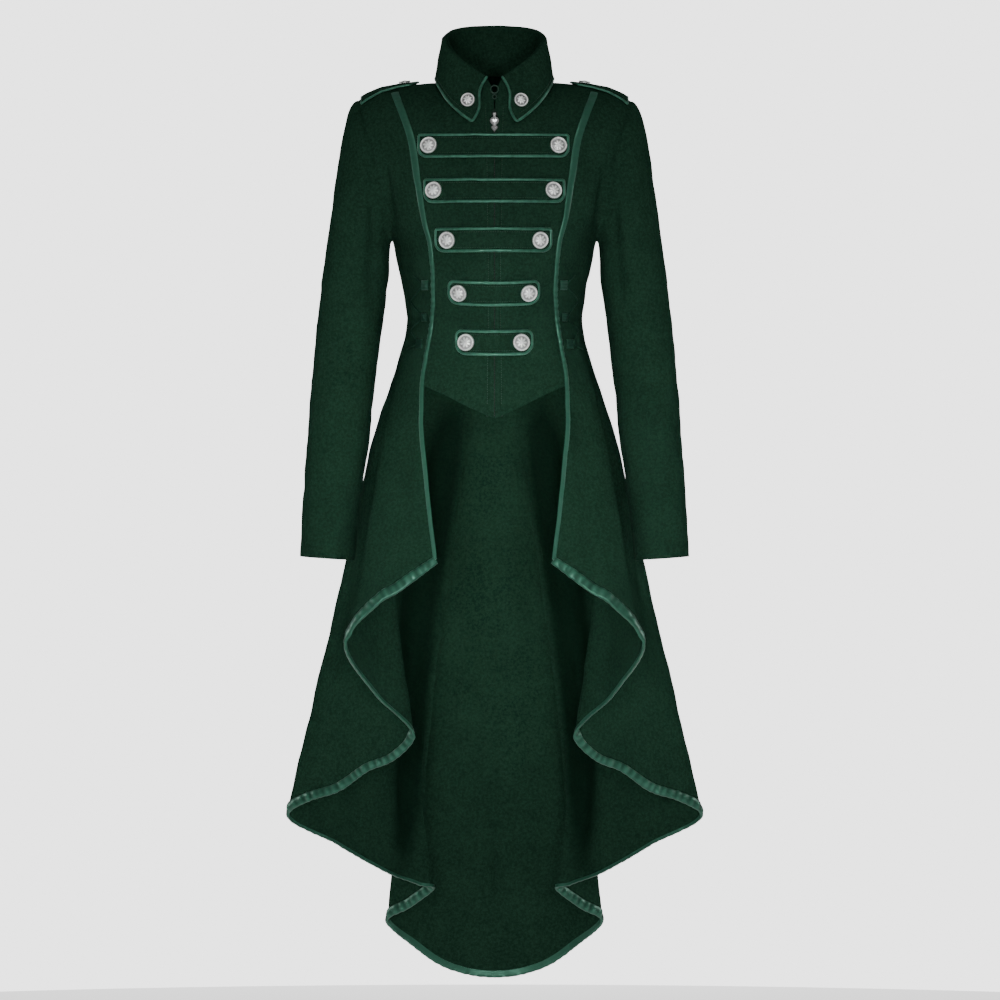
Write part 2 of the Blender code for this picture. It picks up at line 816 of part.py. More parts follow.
def button_mesh(radius):
    """Turned button with a raised rim edge and a low dome, flat behind."""
    profile = ((0, 0), (0.93, 0), (1, 0.14), (0.86, 0.27), (0, 0.33))
    work = bmesh.new()
    points = [work.verts.new((share * radius, 0, high * radius)) for share, high in profile]
    edges = [work.edges.new(pair) for pair in zip(points, points[1:])]
    bmesh.ops.spin(
        work,
        geom=points + edges,
        axis=(0, 0, 1),
        cent=(0, 0, 0),
        steps=BUTTON_STEPS,
        angle=2 * math.pi,
        use_merge=True,
    )
    bmesh.ops.remove_doubles(work, verts=work.verts, dist=1e-5)
    bmesh.ops.recalc_face_normals(work, faces=work.faces)
    mesh = bpy.data.meshes.new("button")
    work.to_mesh(mesh)
    work.free()
    mesh.polygons.foreach_set("use_smooth", [True] * len(mesh.polygons))
    return mesh


def add_button(name, mesh, point, normal):
    """Button with its flat back at a point, facing along a direction."""
    made = bpy.data.objects.new(name, mesh.copy())
    made.data.materials.append(material(name + "_finish", SILVER, 0.34, 1.0))
    turn = Vector(normal).to_track_quat("Z", "Y").to_matrix().to_4x4()
    made.matrix_world = Matrix.Translation(Vector(point)) @ turn
    COAT.objects.link(made)
    return made


TAB_BUTTON_MESH = button_mesh(BUTTON)
ON_TAB = LIFT + PIPING_HEIGHT + SEAM * 2
for number, (right, left, height) in enumerate(TAB_BUTTONS, 1):
    for out, word in ((right, "right"), (left, "left")):
        point, normal = front_point(out * MM, height * MM)
        add_button(f"button_{number}_{word}", TAB_BUTTON_MESH, point + normal * ON_TAB, normal)


def band_on_edge():
    """Band beside the front edge of the side front, made from the panel's points."""
    outer, _, normal = GRIDS["side_front"]
    first = outer[:, 0]
    second = outer[:, 1]
    width = straight(BAND, "width", first[:, 2])[:, None]
    reach = np.linalg.norm(second - first, axis=1, keepdims=True)
    share = np.minimum(width / reach, 0.97)
    far = first + (second - first) * share
    near = first + (second - first) * (0.4 * MM / reach)
    near_out = normal[:, 0]
    far_out = unit(normal[:, 0] * (1 - share) + normal[:, 1] * share)
    sections = np.stack(
        [
            near + near_out * (LIFT + TRIM),
            far + far_out * (LIFT + TRIM),
            far + far_out * LIFT,
            near + near_out * LIFT,
        ],
        axis=1,
    )
    high = (BAND_TOP - first[1, 2]) / (first[2, 2] - first[1, 2])
    low = (HEM_BAND + 4 * MM) / np.linalg.norm(first[-1] - first[-2])
    start = sections[1] + (sections[2] - sections[1]) * high
    stop = sections[-1] + (sections[-2] - sections[-1]) * low
    return np.concatenate([start[None], sections[2:-1], stop[None]])


EDGE_BAND = band_on_edge()
for side, word in SIDES:
    strip(f"front_band_{word}", sided(EDGE_BAND, side))


def hem_sections():
    """Sections of the binding that wraps the hem from the front corner to the back."""
    names = ("side_front", "side_back", "centre_back")
    foot = [GRIDS[name][0][-1] for name in names]
    above = [GRIDS[name][0][-2] for name in names]
    normal = [GRIDS[name][2][-1] for name in names]
    normal_above = [GRIDS[name][2][-2] for name in names]
    across = [PANELS[name] for name in names]
    foot, above, normal, normal_above, across = (
        np.concatenate([part[0], part[1][1:], part[2][1:]])
        for part in (foot, above, normal, normal_above, across)
    )
    along = unit(np.gradient(foot, axis=0))
    column = above - foot
    reach = np.linalg.norm(column, axis=1, keepdims=True)
    up = column / reach
    slant = np.linalg.norm(np.cross(up, along), axis=1, keepdims=True)
    outside = np.minimum(HEM_BAND / slant / reach, 0.97)
    inside = straight(HEM_INSIDE, "width", across)[:, None]
    inside = np.minimum(inside / slant / reach, 0.75)
    out_high = foot + column * outside
    in_high = foot + column * inside
    out_normal = unit(normal * (1 - outside) + normal_above * outside)
    in_normal = unit(normal * (1 - inside) + normal_above * inside)
    steps = unit(np.diff(foot, axis=0))
    bend = np.zeros((len(foot), 1))
    bend[1:-1] = np.linalg.norm(np.diff(steps, axis=0), axis=1, keepdims=True) / 2
    gap = SEAM * 2 / slant * (1 + 2.5 * bend)
    thick = gap + HEM_CLOTH
    sections = np.stack(
        [
            out_high + out_normal * thick,
            foot + normal * thick - up * thick,
            foot - normal * (CLOTH + thick) - up * thick,
            in_high - in_normal * (CLOTH + thick),
            in_high - in_normal * (CLOTH + gap),
            foot - normal * (CLOTH + gap) - up * gap,
            foot + normal * gap - up * gap,
            out_high + out_normal * gap,
        ],
        axis=1,
    )
    sections[-1, :, 0] = SEAM / 2
    return sections


HEM = hem_sections()
for side, word in SIDES:
    strip(f"hem_band_{word}", sided(HEM, side), turned=(1, 2, 6))


def shoulder_height(out, deep):
    """Height of the shoulder's top at a distance out and a depth."""
    ridge = straight(TOP, "ridge", out)
    roof = np.where(deep < RIDGE_DEEP, ROOF_FRONT, ROOF_BACK)
    height = ridge - 0.004
    for _ in range(30):
        side = smooth(SECTIONS, "side", height)
        angle = np.arcsin(np.clip(out / side, 0, 1))
        angle = np.where(deep < RIDGE_DEEP, angle, np.pi - angle)
        full = np.abs(depth_at(angle, height) - RIDGE_DEEP)
        share = np.clip(np.abs(deep - RIDGE_DEEP) / full, 0, 0.98)
        height = (height + ridge - roof * (1 - np.sqrt(1 - share**2))) / 2
    return height


def shoulder_point(out, deep):
    """Points and outward directions on top of the shoulder."""
    step = 1 * MM
    here = stacked(out, deep, shoulder_height(out, deep))
    sideways = stacked(out + step, deep, shoulder_height(out + step, deep))
    sideways = sideways - stacked(out - step, deep, shoulder_height(out - step, deep))
    back = stacked(out, deep + step, shoulder_height(out, deep + step))
    back = back - stacked(out, deep - step, shoulder_height(out, deep - step))
    return here, unit(np.cross(sideways, back))


def epaulette_outline(inset):
    """Flat outline of a strap with a pointed inner end, run round clockwise from above."""
    narrow, wide = EPAULETTE_HALF
    inner, outer = EPAULETTE_INNER + inset * 1.3, EPAULETTE_OUTER - inset
    share = np.linspace(0, 1, 6)
    out = inner + EPAULETTE_POINT + (outer - inner - EPAULETTE_POINT) * share
    half = narrow + (wide - narrow) * share - inset
    back = np.stack([out, RIDGE_DEEP + half], axis=1)
    front = np.stack([out, RIDGE_DEEP - half], axis=1)[::-1]
    ends = np.linspace(back[-1], front[0], 6)[1:-1]
    tip = np.array([[inner, RIDGE_DEEP]])
    side_back = (back[:1] + tip) / 2
    side_front = (front[-1:] + tip) / 2
    return np.concatenate([tip, side_back, back, ends, front, side_front])


def epaulette_grid(inset):
    """Grid over the strap: rows along it, columns from front to back."""
    narrow, wide = EPAULETTE_HALF
    inner, outer = EPAULETTE_INNER + inset * 1.3, EPAULETTE_OUTER - inset
    share = np.linspace(0, 1, 6)[:, None]
    sideways = np.linspace(-1, 1, 7)[None, :]
    start = inner + EPAULETTE_POINT * np.abs(sideways)
    half = narrow + (wide - narrow) * share - inset
    return start + (outer - start) * share, RIDGE_DEEP + half * sideways


STRAP_LIFT = 1.0 * MM
STRAP_CLOTH = 1.8 * MM
out, deep = epaulette_grid(PIPING + SEAM)
STRAP_POINTS, STRAP_NORMAL = shoulder_point(out, deep)
loop = epaulette_outline(PIPING + SEAM)
away = outline_outward(loop)
CORD_RINGS = []
for distance, height in ((0, 1), (1, 1), (1, 0), (0, 0)):
    moved = loop + away * (SEAM + (PIPING - 0.4 * MM) * distance)
    points, normal = shoulder_point(moved[:, 0], moved[:, 1])
    CORD_RINGS.append(points + normal * (STRAP_LIFT + PIPING_HEIGHT * height))
CORD_RINGS = np.stack(CORD_RINGS, axis=1)
SMALL_BUTTON = button_mesh(EPAULETTE_BUTTON)
for side, word in SIDES:
    high = sided(STRAP_POINTS + STRAP_NORMAL * (STRAP_LIFT + STRAP_CLOTH), side)
    low = sided(STRAP_POINTS + STRAP_NORMAL * STRAP_LIFT, side)
    wall(f"epaulette_{word}", high, low)
    strip(f"epaulette_piping_{word}", sided(CORD_RINGS, side), closed=True)
    point, normal = shoulder_point(np.array(121 * MM), np.array(RIDGE_DEEP - 4 * MM))
    point = point + normal * (STRAP_LIFT + STRAP_CLOTH + SEAM)
    add_button(f"epaulette_button_{word}", SMALL_BUTTON, sided(point, side), sided(normal, side))


def on_fall(out, height):
    """Point and outward direction on the collar fall in front, by distance and height."""
    half = FALL_OUTER.shape[1] // 2
    grid = FALL_OUTER[2:, half:]
    normal = FALL_NORMAL[2:, half:]
    gap = (grid[..., 0] - out) ** 2 + (grid[..., 2] - height) ** 2
    gap = np.where(grid[..., 1] < 0, gap, 1)
    weight = 1 / (gap + 1e-7) ** 1.5
    weight = weight / weight.sum()
    near = (grid * weight[..., None]).sum((0, 1))
    facing = unit((normal * weight[..., None]).sum((0, 1)))
    shift = np.array([out, 0, height]) - near * [1, 0, 1]
    shift[1] = -(facing[0] * shift[0] + facing[2] * shift[2]) / facing[1]
    return near + shift, facing


COLLAR_BUTTON_MESH = button_mesh(COLLAR_BUTTON)
point, normal = on_fall(35.5 * MM, -28.5 * MM)
for side, word in SIDES:
    seat = sided(point + normal * 0.9 * MM, side)
    add_button(f"collar_button_{word}", COLLAR_BUTTON_MESH, seat, sided(normal, side))


def zip_sections():
    """Sections of the tape behind the front edges, with the row of teeth between them."""
    height = np.linspace(ZIP_TOP, POINT["height"][0] + 3 * MM, 19)
    points, normal = front_point(np.zeros_like(height), height)
    behind = CLOTH + 1.0 * MM
    shape = (
        (ZIP_HALF, behind + 1 * MM),
        (ZIP_HALF, behind),
        (ZIP_TEETH, behind),
        (ZIP_TEETH, 0.4 * MM),
        (-ZIP_TEETH, 0.4 * MM),
        (-ZIP_TEETH, behind),
        (-ZIP_HALF, behind),
        (-ZIP_HALF, behind + 1 * MM),
    )
    rings = []
    for out, inward in shape:
        ring = points - normal * inward
        ring[:, 0] = out
        bend = front_deep(out, height) - front_deep(0.0, height)
        ring[:, 1] += bend
        rings.append(ring)
    return np.stack(rings, axis=1)


strip("zip", zip_sections(), colour=WOOL, roughness=0.55)


def box_object(name, size, centre, collection):
    bpy.ops.mesh.primitive_cube_add(size=1, location=centre)
    made = bpy.context.object
    made.name = name
    made.scale = size
    return settle(made, collection)


def settle(made, collection):
    """Applies scale and turn, and keeps the object in one collection only."""
    bpy.ops.object.transform_apply(location=True, rotation=True, scale=True)
    for holder in list(made.users_collection):
        holder.objects.unlink(made)
    collection.objects.link(made)
    return made


def rod_object(name, radius, half, centre, collection, sides=16):
    """Rod along X."""
    bpy.ops.mesh.primitive_cylinder_add(
        vertices=sides,
        radius=radius,
        depth=half * 2,
        location=centre,
        rotation=(0, math.pi / 2, 0),
    )
    made = bpy.context.object
    made.name = name
    return settle(made, collection)


def joined(base, other, operation):
    """Joins or cuts with a hidden shape, which stays in the cutters' collection."""
    other.display_type = "WIRE"
    other.hide_render = True
    step = base.modifiers.new(operation.lower(), "BOOLEAN")
    step.operation = operation
    step.solver = "EXACT"
    step.object = other


def slider_frame():
    """Where the slider stands: a point on the zip and the turn to the cloth's slope."""
    point, normal = front_point(0.0, SLIDER_HEIGHT)
    lean = math.atan2(float(normal[2]), -float(normal[1]))
    return Matrix.Translation(Vector(point)) @ Matrix.Rotation(-lean, 4, "X")


def placed(made, frame):
    """Moves a settled mesh by a frame whose -Y points away from the cloth."""
    made.data.transform(frame)
    return made


FRAME = slider_frame()
WIDE, TALL, THICK = SLIDER
BAR_AWAY = SEAM * 2 + THICK + BARREL_RADIUS + SEAM
slider = box_object("zip_slider", (WIDE, THICK, TALL), (0, -SEAM * 2 - THICK / 2, 0), COAT)
ear_size = (1.3 * MM, BAR_AWAY - SEAM * 2, 3.4 * MM)
for out in (-3.1 * MM, 3.1 * MM):
    middle = (out, -(SEAM * 2 + ear_size[1] / 2 + 0.7 * MM), 1.5 * MM)
    ear = box_object(f"ear_{'left' if out > 0 else 'right'}", ear_size, middle, CUTTERS)
    joined(slider, placed(ear, FRAME), "UNION")
bar = rod_object("bar", BAR_RADIUS, 3.3 * MM, (0, -BAR_AWAY, 1.5 * MM), CUTTERS, 12)
joined(slider, placed(bar, FRAME), "UNION")
placed(slider, FRAME)
slider.data.materials.clear()
slider.data.materials.append(material("zip_slider_finish", DARK_METAL, 0.45, 1.0))

# Pull: outline from the barrel down, as half widths at distances below the axis
PULL_SHAPE = (
    (1.0, 1.4),
    (1.6, 4.6),
    (4.6, 6.2),
    (6.1, 9.0),
    (5.6, 12.0),
    (3.0, 15.6),
    (1.8, 17.2),
    (4.2, 18.6),
    (4.4, 20.4),
    (0.0, 26.5),
)


def pull_plate():
    """Flat plate through the outline, the same in front and behind."""
    half = [(out, -down) for out, down in PULL_SHAPE]
    outline = half + [(-out, down) for out, down in reversed(half[:-1])]
    front = [(out * MM, -PULL_CLOTH / 2, high * MM) for out, high in outline]
    back = [(out * MM, PULL_CLOTH / 2, high * MM) for out, high in outline]
    count = len(outline)
    faces = [tuple(range(count)), tuple(range(2 * count - 1, count - 1, -1))]
    for place in range(count):
        beside = (place + 1) % count
        faces.append((place, place + count, beside + count, beside))
    return add_mesh("zip_pull", front + back, faces, SILVER, 0.3, 1.0, rounded=False)


AXIS = FRAME @ Vector((0, -BAR_AWAY, 1.5 * MM))
LEAN = FRAME.to_3x3().to_4x4() @ Matrix.Rotation(-PULL_TILT, 4, "X")
pull = pull_plate()
barrel = rod_object("barrel", BARREL_RADIUS, BARREL_HALF, (0, 0, 0), CUTTERS)
bore = rod_object("bore", BARREL_BORE, 5 * MM, (0, 0, 0), CUTTERS)
pull.data.transform(LEAN)
for shape in (barrel, bore):
    shape.data.transform(Matrix.Translation(AXIS) @ LEAN)
pull.location = AXIS
joined(pull, barrel, "UNION")
joined(pull, bore, "DIFFERENCE")


def ring_object(name, height, major, minor):
    """Small ring that lies on the front edges of the collar stand."""
    edge = STAND[:4, -1]
    deep = np.interp(height, edge[:, 2], edge[:, 1])
    lean = math.atan2(edge[-1, 1] - edge[0, 1], edge[-1, 2] - edge[0, 2])
    bpy.ops.mesh.primitive_torus_add(
        major_radius=major,
        minor_radius=minor,
        major_segments=14,
        minor_segments=5,
        location=(0, deep - minor - SEAM * 1.5, height),
        rotation=(math.pi / 2 - lean, 0, 0),
    )
    made = bpy.context.object
    made.name = name
    settle(made, COAT)
    made.data.polygons.foreach_set("use_smooth", [True] * len(made.data.polygons))
    made.data.materials.append(material(name + "_finish", SATIN, 0.4, 0.6))


ring_object("collar_ring_large", -14.0 * MM, 5.2 * MM, 0.8 * MM)
ring_object("collar_ring_small", -24.0 * MM, 2.7 * MM, 0.7 * MM)


def flat_piece(name, corners, low, high, side, colour=LACING):
    """Thin piece over a grid of distances out and heights on the front."""
    out, height = corners
    points, normal = front_point(out * MM, height * MM)
    upper = sided(points + normal * high, side)
    lower = sided(points + normal * low, side)
    return wall(name, upper, lower, colour=colour, roughness=0.5)


def lace_path():
    """Centre of the lace, from turn to turn between the loops and the far side."""
    near = [(out + 3, height) for out, height, _, _ in LOOPS]
    far = list(LACE_TURNS)
    stops = [far[0], near[0], far[1], near[1], far[2], near[2], far[3]]
    path = []
    for (a, b), (c, d) in zip(stops, stops[1:]):
        for t in (0, 0.34, 0.67):
            path.append((a + (c - a) * t, b + (d - b) * t))
    path.append(stops[-1])
    return np.array(path, float) * MM


def lace(name, side):
    """Flat cord along the lace's path, on the front of the side panels."""
    path = lace_path()
    along = unit(np.gradient(path, axis=0))
    sideways = np.stack([-along[:, 1], along[:, 0]], axis=1) * LACE / 2
    rings = []
    for way, high in ((1, 1.0), (-1, 1.0), (-1, 0.0), (1, 0.0)):
        edge = path + sideways * way
        points, normal = front_point(edge[:, 0], edge[:, 1])
        rings.append(sided(points + normal * (LIFT * 1.4 + 0.9 * MM * high), side))
    strip(name, np.stack(rings, axis=1), colour=LACING, roughness=0.5)


for side, word in SIDES:
    lace(f"side_lace_{word}", side)
    for number, (out, height, wide, tall) in enumerate(LOOPS, 1):
        across = np.linspace(out - wide / 2, out + wide / 2, 4)
        down = np.linspace(height + tall / 2, height - tall / 2, 3)
        corners = np.meshgrid(across, down)
        above = LIFT * 1.4 + 0.9 * MM + SEAM
        flat_piece(f"side_loop_{number}_{word}", corners, above, above + 1.1 * MM, side)
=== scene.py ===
"""Looks of the swallowtail coat: cloth, satin trims, buttons, zip, light and camera.

Metres, +Z up, the front faces -Y. Cloth pieces are thin walls on the form of their solids,
cut finer, with the creases, gathers, seams and stitches put in here.
"""

import math

import bpy
import numpy as np
from mathutils import Matrix, Vector


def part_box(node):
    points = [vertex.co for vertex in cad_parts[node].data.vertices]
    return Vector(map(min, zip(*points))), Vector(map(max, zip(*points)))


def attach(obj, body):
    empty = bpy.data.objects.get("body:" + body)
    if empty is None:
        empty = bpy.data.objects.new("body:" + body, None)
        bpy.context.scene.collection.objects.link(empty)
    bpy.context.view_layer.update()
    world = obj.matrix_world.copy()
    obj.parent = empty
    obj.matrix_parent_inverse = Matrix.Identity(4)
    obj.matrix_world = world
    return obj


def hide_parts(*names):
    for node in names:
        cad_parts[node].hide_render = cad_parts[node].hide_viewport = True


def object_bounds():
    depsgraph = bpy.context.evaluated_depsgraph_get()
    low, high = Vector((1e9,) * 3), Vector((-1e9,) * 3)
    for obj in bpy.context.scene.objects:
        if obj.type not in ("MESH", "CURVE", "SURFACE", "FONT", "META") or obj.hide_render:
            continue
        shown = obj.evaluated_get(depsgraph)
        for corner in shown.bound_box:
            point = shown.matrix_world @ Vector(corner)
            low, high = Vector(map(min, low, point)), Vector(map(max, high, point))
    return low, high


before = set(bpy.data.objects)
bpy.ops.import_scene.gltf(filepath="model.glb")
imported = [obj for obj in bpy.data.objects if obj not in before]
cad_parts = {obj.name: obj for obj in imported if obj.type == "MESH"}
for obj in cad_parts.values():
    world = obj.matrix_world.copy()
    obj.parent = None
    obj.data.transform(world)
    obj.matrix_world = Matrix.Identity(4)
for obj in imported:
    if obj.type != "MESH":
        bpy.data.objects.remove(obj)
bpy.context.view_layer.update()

MM = 0.001
ROUND = 2 * np.pi


def table(names, *rows):
    """Named columns from rows in millimetres, sorted by the first column."""
    values = np.array(sorted(rows), float) * MM
    return dict(zip(names.split(), values.T))


# Cloth: thickness of the body's and the collar's, and rounding of its edges
CLOTH = 1.9 * MM
COLLAR_CLOTH = 1.7 * MM
EDGE_ROUND = 0.22 * MM

# Seams: how far the cloth is drawn in, and how widely; and how high the pieces that are
# sewn onto the front lie above it
SEAM_DIP = 0.24 * MM
SEAM_WIDE = 1.8 * MM
LIFT = 0.5 * MM

# Angles in degrees past which an edge is shaded crisp, and the flattening of a cord's
# lower side
WALL_CRISP = 38
SWEPT_CRISP = 75
CORD_FLAT = 0.55

# Levels of the body: armpit and hip
PIT = -215 * MM
HIP = -412 * MM

# Torso: depth of the shoulder ridge, how far below it front and back have their full
# depth, and how flat the section is
RIDGE_DEEP = 8 * MM
ROOF_FRONT = 75 * MM
ROOF_BACK = 100 * MM
FLATTER = 0.92

# Half the gap at the zip, and how far out the neckline reaches the neck's side
HALF_ZIP = 0.8 * MM
NECK_SIDE = 66 * MM

# Hem: share of the level and height of its last row, and how quickly folds grow to it
LAST_SHARE = 1 / 9
HEM_ROW = 22 * MM
FOLD_GROWTH = 1.5

# How deep behind the middle the back's creases are whole, and how deep a fold has the whole painted
# shade of its hollow
BACK_FADE = 30 * MM
PAINTED_SHADE_DEPTH = 10 * MM

# Torso and skirt: height, half width, depth in front and depth behind
SECTIONS = table(
    "height side front back",
    (20, 222, 68, 88),
    (-2, 222, 70, 92),
    (-24, 221, 73, 98),
    (-52, 215, 79, 104),
    (-92, 200, 92, 109),
    (-159, 170, 114, 108),
    (-190, 153, 121, 105),
    (-215, 137.4, 123, 102),
    (-240, 132.5, 120, 99),
    (-270, 125.5, 112, 94),
    (-300, 120.5, 103, 90),
    (-325, 118.5, 98, 88),
    (-345, 121.5, 97, 89),
    (-375, 129.5, 100, 96),
    (-400, 137.5, 104, 104),
    (-429, 148, 109, 114),
    (-479, 165, 119, 128),
    (-560, 184, 135, 140),
    (-643, 202, 150, 150),
    (-820, 241, 172, 172),
    (-985, 278, 190, 190),
    (-1210, 300, 205, 205),
)

# Seams from the shoulder to the hem: distance from the middle, in front and behind
LINES = table(
    "height front back",
    (0, 133, 127),
    (-15, 129, 124),
    (-45, 118, 116),
    (-78, 107, 107),
    (-115, 101, 96),
    (-150, 96.5, 84),
    (-186, 91.5, 71),
    (-222, 83.5, 60),
    (-265, 79.5, 49),
    (-290, 79, 44),
    (-321, 81, 41),
    (-351, 85.5, 42),
    (-394, 92.5, 47),
    (-456, 95, 53),
    (-517, 90.5, 61),
    (-590, 83.5, 75),
    (-648, 77, 87),
    (-720, 77, 100),
    (-880, 77, 130),
    (-985, 77, 142),
    (-1100, 77, 130),
    (-1210, 77, 112),
)

# Top edge of the body: neckline in front and behind up to the side of the neck, then
# the shoulder; the ridge is where front and back would meet
TOP = table(
    "out front back ridge",
    (0, -38, 12, 36),
    (17, -37, 11.5, 34),
    (34, -33, 10, 28),
    (50, -23, 6.5, 16),
    (59, -12, 3.5, 7),
    (66, -1, -1, -1),
    (84, -1, -1, -1),
    (100, -2, -2, -2),
    (130, -5.5, -5.5, -5.5),
    (152, -10, -10, -10),
    (172, -18, -18, -18),
    (184, -25, -25, -25),
    (240, -60, -60, -60),
)

# Armhole: how far out the body panels reach above the armpit
ARMHOLE = table(
    "height out",
    (20, 190),
    (-25, 184),
    (-50, 177.5),
    (-92, 165.5),
    (-159, 152),
    (-190, 144.5),
    (-205, 140.5),
    (-215, 137.4),
)

# Lower edge of the middle front, by the share of the way from the zip to the seam
POINT = table(
    "share height",
    (0, -455),
    (160, -449),
    (370, -440),
    (700, -424),
    (1000, -412),
)

# Hem, by how far across the cloth (thousandths: 0 front edge, 1000 side seam, 2000 back
# seam, 3000 middle of the back): where it ends up, and where its fold starts
FOLDS = table(
    "across out deep height start",
    (0, 76, -166, -647, -415),
    (200, 126, -176, -684, -420),
    (340, 157, -175, -703, -430),
    (500, 199, -150, -761, -430),
    (620, 158, -106, -825, -380),
    (745, 110, -70, -886, -360),
    (800, 135, -55, -912, -360),
    (870, 171, -38, -928, -380),
    (940, 207, -20, -954, -400),
    (1030, 249, 1, -969, -400),
    (1120, 279, 24, -986, -400),
    (1350, 213, 54, -1031, -380),
    (1620, 151, 78, -1068, -360),
    (1950, 106, 94, -1087, -350),
    (2300, 91, 110, -1101, -350),
    (2430, 119, 130, -1122, -350),
    (2560, 148, 154, -1142, -350),
    (2680, 114, 183, -1175, -350),
    (2824, 67, 199, -1207, -350),
    (2912, 31, 204, -1218, -350),
    (3000, 0, 205, -1221, -350),
)

# Sleeve below the armpit: outer and inner edge, half its depth, and how far back it hangs
SLEEVE = table(
    "height outer inner depth deep",
    (-270, 233.5, 143.5, 56, 2),
    (-320, 238.5, 150, 53, 0),
    (-375, 244, 157, 50, -5),
    (-425, 248.5, 163, 48.5, -12),
    (-479, 252, 168, 47, -25),
    (-556, 257, 179, 44, -42),
    (-640, 261.5, 188, 42, -60),
)
CUFF_TILT = 5 * MM
TILT_START = -500 * MM
SLEEVE_SEAMS = (0.92 * np.pi, 1.32 * np.pi)
SLEEVE_RADIUS = 42 * MM

# Sleeve's cap: how far its curves leave the armhole, how much they follow the body's
# directions and go outwards, how high they rise, how its rows are spaced, and over what
# length its creases take over from the body's
CAP_REACH = 22 * MM
CAP_FOLLOW = np.array([0.35, 0.35, 0.1])
CAP_AWAY = np.array([1, 0, -0.12])
CAP_RISE = 0.62
CAP_ROWS = 1.35
CAP_BLEND = 35 * MM

# Collar, by how far round it is from the middle of the back (thousandths): top of the
# roll, and lower edge of the fall
COLLAR = table(
    "turn top_out top_deep top_height fall_out fall_deep fall_height",
    (0, 0, 74, 81, 0, 95, 14),
    (90, 22, 71, 80.5, 30, 92, 13),
    (180, 42, 60, 78, 55, 78, 11),
    (270, 57, 42, 73, 71, 56, 9),
    (370, 66, 16, 65, 79, 22, 7),
    (470, 68, -8, 57, 81, -12, 5),
    (580, 61.5, -32, 45, 74, -46, -10),
    (700, 50, -50, 33, 62, -66, -28),
    (850, 31, -66, 18, 45, -78, -45),
    (1000, 10.5, -74, 4, 30, -86, -56),
)

# Collar: radius of the roll, how far the stand reaches below the neckline, how far stand
# and fall reach past each other in the roll, and the sway of the fall's front edge
ROLL = 3.0 * MM
STAND_LAP = 1.5 * MM
COLLAR_LAP = 2.2 * MM
EDGE_SWAY = 3.0 * MM

# In front of this depth the fall's edge stays clear of the coat's front by this much; and
# the middle of the neck
FALL_FRONT = -30 * MM
FALL_OFF_FRONT = 6 * MM
NECK_MIDDLE = np.array([0, -10 * MM, 0])

# Chest tabs with their piping: right end, left end, top, bottom, sag and corner radii
TABS = (
    (-103.0, 100.0, -74.0, -106.6, 0.0, 3.5, 13.0),
    (-94.6, 94.3, -135.0, -167.6, 0.0, 3.5, 13.0),
    (-79.4, 76.4, -200.8, -233.2, 0.0, 3.5, 13.0),
    (-62.0, 60.2, -269.4, -302.0, 3.0, 9.0, 14.0),
    (-52.4, 51.2, -335.6, -369.6, 2.0, 10.0, 14.0),
)
TAB_BUTTONS = (
    (-87.5, 85.0, -90.3),
    (-80.4, 77.8, -151.0),
    (-61.8, 59.5, -217.0),
    (-47.0, 45.0, -287.0),
    (-37.5, 35.2, -354.0),
)
TAB_CLOTH = 1.5 * MM
PIPING = 3.6 * MM

# Buttons
BUTTON = 11.6 * MM
COLLAR_BUTTON = 9.6 * MM
EPAULETTE_BUTTON = 8.0 * MM
ON_TAB = 3.2 * MM

# Bands on the princess seams and round the hem
BAND = table(
    "height width",
    (0, 10.5),
    (-120, 10),
    (-180, 8),
    (-230, 6.5),
    (-1210, 6),
)
BAND_TOP = -15.5 * MM
HEM_BAND = 16 * MM
HEM_INSIDE = table(
    "across width",
    (0, 3),
    (2300, 3),
    (2560, 5),
    (2680, 8),
    (3000, 8),
)

# Epaulettes
EPAULETTE_INNER = 100 * MM
EPAULETTE_OUTER = 180 * MM
EPAULETTE_HALF = (21 * MM, 29 * MM)
EPAULETTE_POINT = 11 * MM

# Side lacing on each side: loops beside the band, and the far turns of the lace
LOOPS = ((92, -276, 9, 13), (94, -319, 8, 11), (101, -355, 9, 13))
LACE_TURNS = ((108, -262), (112, -296), (112, -336), (118, -362))
LACE = 2.4 * MM

